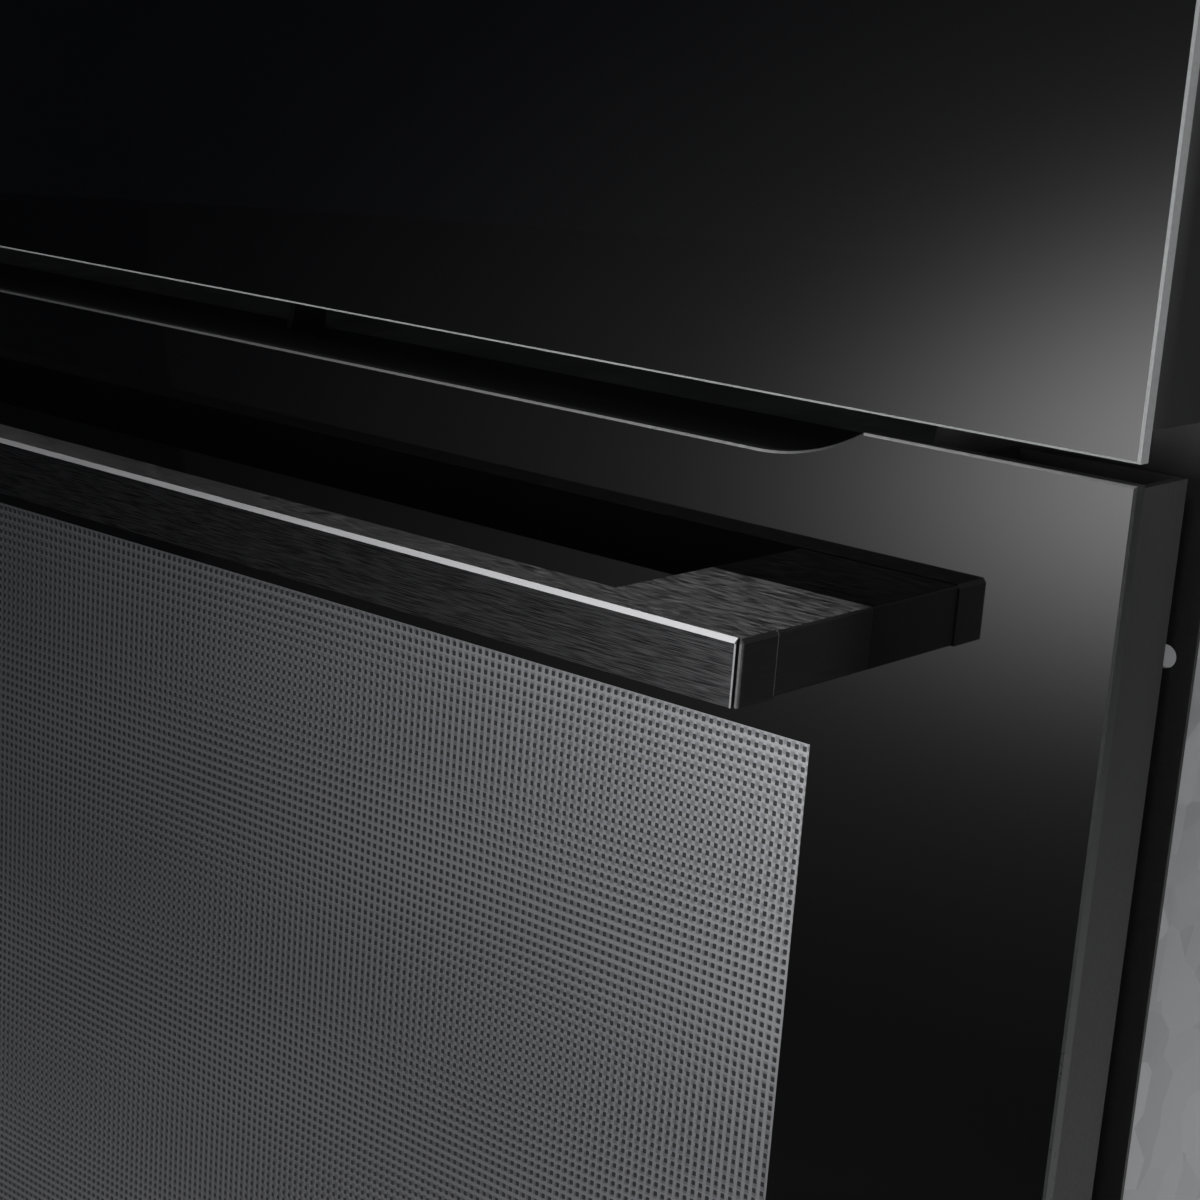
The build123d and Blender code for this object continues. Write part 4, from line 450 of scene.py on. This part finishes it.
wire(inside.outputs["Value"], specked.inputs["Factor"])
wire(tone.outputs["Result"], specked.inputs["A"])
wire(given.outputs["Speck"], specked.inputs["B"])
wire(shade_of.outputs["Green"], gloss.inputs["Factor"])
wire(given.outputs["Smooth"], gloss.inputs["A"])
wire(given.outputs["Rough"], gloss.inputs["B"])
wire(specked.outputs["Result"], result.inputs["Color"])
wire(gloss.outputs["Result"], result.inputs["Roughness"])
print("group cell_pattern with", len(cells.nodes), "nodes")

# %% Materials of cells
def celled(name, tone_a, tone_b, rough, metal, scale, speck=(0.6, 0.6, 0.6), speck_size=0.0):
    """A material of small cells, with specks if they have a size."""
    *_, pattern = new_finish(name, cells, metal)
    for label, colour in (("Tone A", tone_a), ("Tone B", tone_b), ("Speck", speck)):
        pattern.inputs[label].default_value = (*colour, 1.0)
    pattern.inputs["Scale"].default_value = scale
    pattern.inputs["Speck Size"].default_value = speck_size
    pattern.inputs["Smooth"].default_value, pattern.inputs["Rough"].default_value = rough


celled("galvanised_sheet", (0.4, 0.41, 0.42), (0.52, 0.53, 0.54), (0.38, 0.55), 0.6, 85)
celled(
    "dark_enamel", (0.045, 0.046, 0.052), (0.068, 0.07, 0.078), (0.16, 0.24), 0.0, 260, (0.4, 0.41, 0.43),
    speck_size=0.13,
)
print("cells for zinc and enamel")

# %% [markdown]
# ## Clear glass
# The inner panes are plain float glass. Real refraction in two panes is slow and dims the cavity behind
# them, so the material mixes a see-through surface with a mirror by Fresnel, which is how thin flat glass
# looks.

# %% Clear panes
PANE_TINT = (0.93, 0.95, 0.94, 1.0)
GLASS_IOR = 1.5
clear = bpy.data.materials.new("clear_glass")
clear.use_nodes = True
tree = clear.node_tree
tree.nodes.remove(tree.nodes["Principled BSDF"])
through = tree.nodes.new("ShaderNodeBsdfTransparent")
through.inputs["Color"].default_value = PANE_TINT
mirror = tree.nodes.new("ShaderNodeBsdfGlossy")
mirror.inputs["Roughness"].default_value = 0.02
angle = tree.nodes.new("ShaderNodeFresnel")
angle.inputs["IOR"].default_value = GLASS_IOR
pane_mix = tree.nodes.new("ShaderNodeMixShader")
tree.links.new(angle.outputs["Fac"], pane_mix.inputs["Fac"])
tree.links.new(through.outputs["BSDF"], pane_mix.inputs[1])
tree.links.new(mirror.outputs["BSDF"], pane_mix.inputs[2])
tree.links.new(pane_mix.outputs["Shader"], tree.nodes["Material Output"].inputs["Surface"])
finish["clear_glass"] = clear
print("clear glass ready")

# %% [markdown]
# ## The dotted window print
# The window is a silvery print on the back of the glass: a light grey field with rows of small dark
# squares, through which one can look into the oven. A second, fainter lattice shows beside it: a painted
# shadow of the dots, drawn as if they cast it on a layer behind, at a slightly different pitch because that
# layer lies deeper. A picture of dots would blur up close, so both are drawn with arithmetic on the object's
# own coordinates, and the glass over the print is a clear coat.

# %% Arithmetic for the print
CORNER_POWER = 6.0
screen_low, screen_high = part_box("window_screen")
window_print = bpy.data.materials.new("window_print")
window_print.use_nodes = True
tree = window_print.node_tree
ink = tree.nodes["Principled BSDF"]


def sums(operation, a, b=None, c=None):
    """A Math node; numbers are set on it and sockets are linked."""
    node = tree.nodes.new("ShaderNodeMath")
    node.operation = operation
    for i, value in enumerate((a, b, c)):
        if value is None:
            continue
        if isinstance(value, (int, float)):
            node.inputs[i].default_value = value
        else:
            tree.links.new(value, node.inputs[i])
    return node.outputs["Value"]


def off_centre(count):
    """Distance from the nearest cell centre, in cells, of a running count."""
    return sums("ABSOLUTE", sums("SUBTRACT", sums("FRACT", count), 0.5))


def square(across, down, size, soft):
    """1 inside a rounded square of this half size, 0 outside, with a soft rim."""
    a = sums("POWER", sums("DIVIDE", across, size[0]), CORNER_POWER)
    b = sums("POWER", sums("DIVIDE", down, size[1]), CORNER_POWER)
    reach = sums("POWER", sums("ADD", a, b), 1.0 / CORNER_POWER)
    fade = tree.nodes.new("ShaderNodeMapRange")
    fade.interpolation_type = "SMOOTHSTEP"
    fade.inputs["From Min"].default_value = 1.0 + soft
    fade.inputs["From Max"].default_value = 1.0 - soft
    tree.links.new(reach, fade.inputs["Value"])
    return fade.outputs["Result"]


print("window from", [round(c, 4) for c in screen_low], "to", [round(c, 4) for c in screen_high])

# %% [markdown]
# Columns are counted from the window's right edge and rows from its top, both in dots. The painted shadow
# of the dots is counted in the same way, a little shifted, leaning and at its own pitch, and its squares
# are soft.

# %% Dots and their painted shadow
DOT_PITCH = (0.002052, 0.0022706)
DOT_SHARE = (0.25, 0.26)
DOT_RIM = 0.10
DOT_EDGE = 0.57
# The lattice of the painted shadow of the dots: its shift, pitch, lean, size, rim and strength.
PAINTED_SHADOW_SHIFT = (0.38, 0.155)
PAINTED_SHADOW_PITCH = (1.0155, 0.969)
PAINTED_SHADOW_LEAN = 0.01
PAINTED_SHADOW_SHARE = (0.29, 0.29)
PAINTED_SHADOW_RIM = 0.5
PAINTED_SHADOW_STRENGTH = 0.6
where = tree.nodes.new("ShaderNodeTexCoord")
axis = tree.nodes.new("ShaderNodeSeparateXYZ")
tree.links.new(where.outputs["Object"], axis.inputs["Vector"])
column = sums("DIVIDE", sums("SUBTRACT", screen_high.x, axis.outputs["X"]), DOT_PITCH[0])
row = sums("DIVIDE", sums("SUBTRACT", screen_high.z, axis.outputs["Z"]), DOT_PITCH[1])
dot_u = off_centre(sums("ADD", column, 0.5 - DOT_EDGE))
dot_v = off_centre(sums("ADD", row, 0.5 - DOT_EDGE))
dots = square(dot_u, dot_v, DOT_SHARE, DOT_RIM)
# The painted shadow of the dots, a second lattice of soft squares.
painted_shadow_column = sums("MULTIPLY_ADD", row, PAINTED_SHADOW_LEAN, sums("SUBTRACT", column, PAINTED_SHADOW_SHIFT[0]))
painted_shadow_row = sums("ADD", row, PAINTED_SHADOW_SHIFT[1])
painted_shadow_u = off_centre(sums("MULTIPLY_ADD", painted_shadow_column, 1.0 / PAINTED_SHADOW_PITCH[0], 0.5 - DOT_EDGE))
painted_shadow_v = off_centre(sums("MULTIPLY_ADD", painted_shadow_row, 1.0 / PAINTED_SHADOW_PITCH[1], 0.5 - DOT_EDGE))
painted_shadows = square(painted_shadow_u, painted_shadow_v, PAINTED_SHADOW_SHARE, PAINTED_SHADOW_RIM)
painted_shadow_mask = sums("MULTIPLY", painted_shadows, PAINTED_SHADOW_STRENGTH)
print("dots across the window:", round((screen_high.x - screen_low.x) / DOT_PITCH[0]))

# %% Ink and clear coat
PRINT_SILVER = (0.49, 0.49, 0.513, 1.0)
# The next colour is the grey of the painted shadow of the dots.
PAINTED_SHADOW_GREY = (0.12, 0.12, 0.13, 1.0)
DOT_BLACK = (0.006, 0.006, 0.007, 1.0)
field = tree.nodes.new("ShaderNodeMix")
field.data_type = "RGBA"
field.inputs["A"].default_value = PRINT_SILVER
field.inputs["B"].default_value = PAINTED_SHADOW_GREY
# The field darkens where the painted shadow of the dots lies.
tree.links.new(painted_shadow_mask, field.inputs["Factor"])
printed = tree.nodes.new("ShaderNodeMix")
printed.data_type = "RGBA"
printed.inputs["B"].default_value = DOT_BLACK
tree.links.new(dots, printed.inputs["Factor"])
tree.links.new(field.outputs["Result"], printed.inputs["A"])
tree.links.new(printed.outputs["Result"], ink.inputs["Base Color"])
tree.links.new(sums("SUBTRACT", 1.0, dots), ink.inputs["Metallic"])
ink.inputs["Roughness"].default_value = 0.36
ink.inputs["Coat Weight"].default_value = 1.0
ink.inputs["Coat Roughness"].default_value = 0.015
ink.inputs["Coat IOR"].default_value = GLASS_IOR
finish["window_print"] = window_print
print("print in", len(tree.nodes), "nodes")

# %% [markdown]
# ## Glass panes of the front
# The door is one sheet of 4 mm glass, black all over except for the window, with its edges ground to a
# small bright arris. Its top edge dips in a long shallow scoop, so that a hand and the cooling air get past
# the handle. A plane with a bevel would round everything, so the pane is built from its outline: four rings
# of points, one for each edge of the arris, and a cap on either side.

# %% Outlines
def rectangle(low, high):
    """The four corners of a box seen from the front, anticlockwise."""
    return [(low.x, low.z), (high.x, low.z), (high.x, high.z), (low.x, high.z)]


def scoop_outline(low, high, half, depth, radius, steps=20):
    """The door's outline in X and Z, anticlockwise, with an arc at each end of the scoop."""
    run = math.sqrt(radius ** 2 - (radius - depth) ** 2)
    turn = math.asin(run / radius)
    arc = []
    for i in range(steps + 1):
        a = turn * (1 - i / steps)
        arc.append((half - run + radius * math.sin(a), high.z - depth + radius * (1 - math.cos(a))))
    points = [(low.x, low.z), (high.x, low.z), (high.x, high.z)] + arc
    points += [(-x, z) for x, z in reversed(arc)]
    return points + [(low.x, high.z)]


def inset(points, distance):
    """The same outline moved inwards, corner by corner."""
    moved = []
    for i, here in enumerate(points):
        before = Vector(here) - Vector(points[i - 1])
        after = Vector(points[(i + 1) % len(points)]) - Vector(here)
        normal_a = Vector((-before.y, before.x)).normalized()
        normal_b = Vector((-after.y, after.x)).normalized()
        step = (normal_a + normal_b) / (1 + normal_a.dot(normal_b))
        moved.append(tuple(Vector(here) + distance * step))
    return moved


SCOOP = {"half": 0.2363, "depth": 0.0075, "radius": 0.048}
door_low, door_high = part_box("door_glass_outer")
door_line = scoop_outline(door_low, door_high, **SCOOP)
window_line = rectangle(screen_low, screen_high)
print("door outline of", len(door_line), "points")

# %% Rings and panes
ARRIS = 0.0005
PANE_EDGE = 1


def ring(bm, points, y):
    """A closed loop of vertices and edges at one depth."""
    verts = [bm.verts.new((x, y, z)) for x, z in points]
    edges = [bm.edges.new((verts[i - 1], verts[i])) for i in range(len(verts))]
    return verts, edges


def join_rings(bm, first, second, material=0):
    """A band of faces between two loops."""
    for i in range(len(first)):
        face = bm.faces.new((first[i - 1], first[i], second[i], second[i - 1]))
        face.material_index = material


def pane(name, outline, near, far, arris, edge, opening=None):
    """A sheet of glass with an arris on both faces and, if asked, an opening for the window."""
    bm = bmesh.new()
    inner = inset(outline, arris)
    steps = ((inner, near), (outline, near + arris), (outline, far - arris), (inner, far))
    loops = [ring(bm, points, y) for points, y in steps]
    for a, b in zip(loops, loops[1:]):
        join_rings(bm, a[0], b[0], PANE_EDGE)
    near_edges, far_edges = loops[0][1], loops[3][1]
    if opening:
        near_hole, far_hole = ring(bm, opening, near), ring(bm, opening, far)
        join_rings(bm, near_hole[0], far_hole[0], PANE_EDGE)
        near_edges, far_edges = near_edges + near_hole[1], far_edges + far_hole[1]
    for edges in (near_edges, far_edges):
        bmesh.ops.triangle_fill(bm, use_beauty=True, edges=edges)
    glass = add_mesh(name, bm)
    for coat in ("black_glass", edge):
        glass.data.materials.append(finish[coat])
    return glass


# %% Door pane and fascia
door_pane = pane("door_pane", door_line, door_low.y, door_high.y, ARRIS, "glass_edge", window_line)
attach(door_pane, "door")
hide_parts("door_glass_outer")
fascia_low, fascia_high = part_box("fascia_glass")
fascia_line = rectangle(fascia_low, fascia_high)
fascia_pane = pane("fascia_pane", fascia_line, fascia_low.y, fascia_high.y, ARRIS, "ground_edge")
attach(fascia_pane, "carcass")
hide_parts("fascia_glass")
print("door pane:", len(door_pane.data.polygons), "faces; fascia:", len(fascia_pane.data.polygons))

# %% The window with its print
WINDOW_GAP = 0.00002
bm = bmesh.new()
front_ring = ring(bm, inset(window_line, WINDOW_GAP), door_low.y)
back_ring = ring(bm, inset(window_line, WINDOW_GAP), screen_high.y)
join_rings(bm, front_ring[0], back_ring[0])
bm.faces.new(front_ring[0])
bm.faces.new(back_ring[0])
window_piece = add_mesh("dotted_window", bm)
window_piece.data.materials.append(finish["window_print"])
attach(window_piece, "door")
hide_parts("window_screen")
print("window", [round(v, 4) for v in (screen_high.x - screen_low.x, screen_high.z - screen_low.z)])

# %% [markdown]
# ## Bar handle
# The handle is a square bar of dark brushed metal on two posts. Its top front edge is cut at 45 degrees,
# and the cut takes a paler tone, a painted highlight, which draws the fine light line along the bar. At each
# end the front plate stops at a thin facet in a darker tone, painted shade, then come a groove whose walls
# are black plastic, painted shade in a real groove, and the rounded lip of the end piece in darker brushed
# metal, painted shade. A scaled cube would have none of these, so the section is drawn point by point for
# the right end, mirrored for the left one and raised through three levels.

# %% Section of the bar
BAR_CUT = 0.001
BAR_FINISHES = ("brushed_steel", "bright_cut_painted_highlight", "soft_cut_painted_shade", "brushed_ends_painted_shade", "black_plastic", "brushed_top_painted_shade")
bar_low, bar_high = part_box("handle_bar")
front, back, end = bar_low.y, bar_high.y, bar_high.x
# In each row: how far short of the end, how far behind the front, the finish of the wall that arrives here,
# and how far short of the end at the top.
# The groove's rows take black plastic, painted shade inside the groove; the facet and the lip take darker
# copies of the cut and brushed metal, painted shade.
END_SECTION = (
    (0.0016, 0.0, "brushed_steel", 0.0016),
    (0.00125, 0.0001, "soft_cut_painted_shade", 0.00145),
    (0.0016, 0.00025, "black_plastic", 0.00135),
    (0.0016, 0.0015, "black_plastic", 0.00125),
    (0.0008, 0.0015, "black_plastic", 0.00115),
    (0.0008, 0.0006, "black_plastic", 0.0011),
    (0.0004, 0.00075, "brushed_ends_painted_shade", 0.00095),
    (0.0001, 0.00095, "brushed_ends_painted_shade", 0.00085),
    (0.0, 0.00115, "brushed_ends_painted_shade", 0.0008),
    (0.0, back - front, "brushed_ends_painted_shade", 0.0008),
)
half_line = [(end - short, front + deep, coat, end - top) for short, deep, coat, top in END_SECTION]
line = half_line + [(-x, y, coat, -top) for x, y, coat, top in reversed(half_line)]
print("bar section of", len(line), "points")

# %% Bar
MERGE = 0.000001
bm = bmesh.new()
levels = []
for z, cut in ((bar_low.z, 0.0), (bar_high.z - BAR_CUT, 0.0), (bar_high.z, BAR_CUT)):
    levels.append([bm.verts.new((top if cut else x, max(y, front + cut), z)) for x, y, coat, top in line])
count = len(line)
for i in range(count):
    wall_coat = line[i][2] if i < count // 2 else line[i - 1][2]
    if i in (0, count // 2):
        wall_coat = "brushed_steel"
    # The top cut at the front takes the paler cut metal, a painted highlight.
    slope_coat = "bright_cut_painted_highlight" if i == 0 else wall_coat
    for lower, upper, coat in ((levels[0], levels[1], wall_coat), (levels[1], levels[2], slope_coat)):
        face = bm.faces.new((lower[i - 1], lower[i], upper[i], upper[i - 1]))
        face.material_index = BAR_FINISHES.index(coat)
bm.faces.new(levels[0])
# The top face takes the darker brushed copy, painted shade.
bm.faces.new(levels[2]).material_index = BAR_FINISHES.index("brushed_top_painted_shade")
bmesh.ops.remove_doubles(bm, verts=bm.verts, dist=MERGE)
bar = add_mesh("bar", bm)
for coat in BAR_FINISHES:
    bar.data.materials.append(finish[coat])
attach(bar, "door")
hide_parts("handle_bar")
print("bar:", len(bar.data.polygons), "faces")

# %% [markdown]
# The posts are plain blocks between the bar and the door. A small round on their long edges catches the
# light, and a fine seam shows where each one meets the bar, its sides in the paler cut metal, a painted
# highlight. Two bevels make both: a flat one for the seam first, then a round one for the long edges. The
# sides and the top of each post take the darker brushed copies, painted shade.

# %% Posts
POST_FINISHES = ("brushed_steel", "bright_cut_painted_highlight", "brushed_ends_painted_shade", "brushed_top_painted_shade")
# Indices of the paler cut metal for the seam sides, a painted highlight, and of the darker brushed copies
# for the sides and the top, painted shade.
seam_highlight, side_shade, upper = (POST_FINISHES.index(coat) for coat in ("bright_cut_painted_highlight", "brushed_ends_painted_shade", "brushed_top_painted_shade"))
SEAM = 0.0002
POST_ROUND = 0.0006
ALONG = 0.999
TINY = 1e-5
SIDEWAYS = 0.5
TURNED_ASIDE = 0.2
UPWARDS = 0.99


def block(bm, low, high):
    """A box of six faces from two corners."""
    made = bmesh.ops.create_cube(bm, size=1.0)
    place = Matrix.Translation((low + high) / 2) @ Matrix.Diagonal((*(high - low), 1.0))
    bmesh.ops.transform(bm, matrix=place, verts=made["verts"])


def edges_along(bm, direction, before=math.inf):
    """Edges that run along one axis and lie in front of a depth."""
    found = []
    for edge in bm.edges:
        start, stop = (vert.co for vert in edge.verts)
        if abs((stop - start).normalized()[direction]) > ALONG and (start.y + stop.y) / 2 < before:
            found.append(edge)
    return found


for side in ("left", "right"):
    post_low, post_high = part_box("handle_post_" + side)
    bm = bmesh.new()
    block(bm, post_low, post_high)
    seam = edges_along(bm, 0, post_low.y + TINY) + edges_along(bm, 2, post_low.y + TINY)
    lips = bmesh.ops.bevel(bm, geom=seam, offset=SEAM, segments=1, affect="EDGES")
    for face in lips["faces"]:
        face.material_index = seam_highlight if abs(face.normal.x) > SIDEWAYS else side_shade
    long_edges = edges_along(bm, 1)
    bmesh.ops.bevel(bm, geom=long_edges, offset=POST_ROUND, segments=3, profile=0.5, affect="EDGES")
    # Faces turned aside take the darker brushed copy and upward faces the darker top copy, painted shade.
    for face in bm.faces:
        if abs(face.normal.x) > TURNED_ASIDE and face.material_index != seam_highlight:
            face.material_index = side_shade
        elif face.normal.z > UPWARDS:
            face.material_index = upper
    post = add_mesh("post_" + side, bm)
    for coat in POST_FINISHES:
        post.data.materials.append(finish[coat])
    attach(post, "door")
    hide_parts("handle_post_" + side)
    print("post", side, "of", len(post.data.polygons), "faces")

# %% [markdown]
# ## Hinge springs
# Inside each side column of the door a coil pushes the follower down on the hinge's cam, which balances the
# door's weight. The solid is a plain sleeve. Here the wire itself is wound: a small circle of points is
# carried along a helix and each circle is joined to the last. As the door opens, the follower rises and
# squeezes the coil; here the coil is wound once, at its resting length, and does not change.

# %% Wind the springs
TURNS, STEPS, SIDES = 17, 28, 10
WIRE = 0.001


def coil(name, low, high):
    """A coil of round wire that fills the box of a sleeve."""
    middle = (low + high) / 2
    radius = (high.x - low.x) / 2 - WIRE
    bm = bmesh.new()
    last = None
    total = TURNS * STEPS
    for i in range(total + 1):
        turn = 2 * math.pi * i / STEPS
        height = low.z + WIRE + (high.z - low.z - 2 * WIRE) * i / total
        out = Vector((math.cos(turn), math.sin(turn), 0.0))
        centre = Vector((middle.x, middle.y, height)) + radius * out
        loop = []
        for k in range(SIDES):
            a = 2 * math.pi * k / SIDES
            loop.append(bm.verts.new(centre + WIRE * (math.cos(a) * out + math.sin(a) * Vector((0, 0, 1)))))
        if last:
            join_rings(bm, last, loop)
        else:
            bm.faces.new(loop)
        last = loop
    bm.faces.new(last)
    for face in bm.faces:
        face.smooth = len(face.verts) == 4
    return add_mesh(name, bm)


for side in ("left", "right"):
    low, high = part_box("hinge_spring_" + side)
    spring = coil("coil_" + side, low, high)
    spring.data.materials.append(finish["spring_steel"])
    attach(spring, "door")
    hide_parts("hinge_spring_" + side)
    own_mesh(spring)
print("springs of", TURNS, "turns")

# %% [markdown]
# ## Finishes for the pieces that stay as they are
# Everything else keeps its solid from the frame. The record names the material of each piece, so the
# finishes are handed out by that name.

# %% Hand out the finishes
for subpart in frame["record"]["subparts"]:
    node = frame["nodes"].get(subpart.get("node", subpart.get("name")))
    if node is None:
        continue
    node.data.materials.clear()
    node.data.materials.append(finish[subpart["material_slot"]])
print("dressed", len(frame["nodes"]), "nodes")

# %% Measure and finish
seen_low, seen_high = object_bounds()
seen_size, cad_size = seen_high - seen_low, cad_high - cad_low
print("box", [round(v, 4) for v in seen_size], "against", [round(v, 4) for v in cad_size])
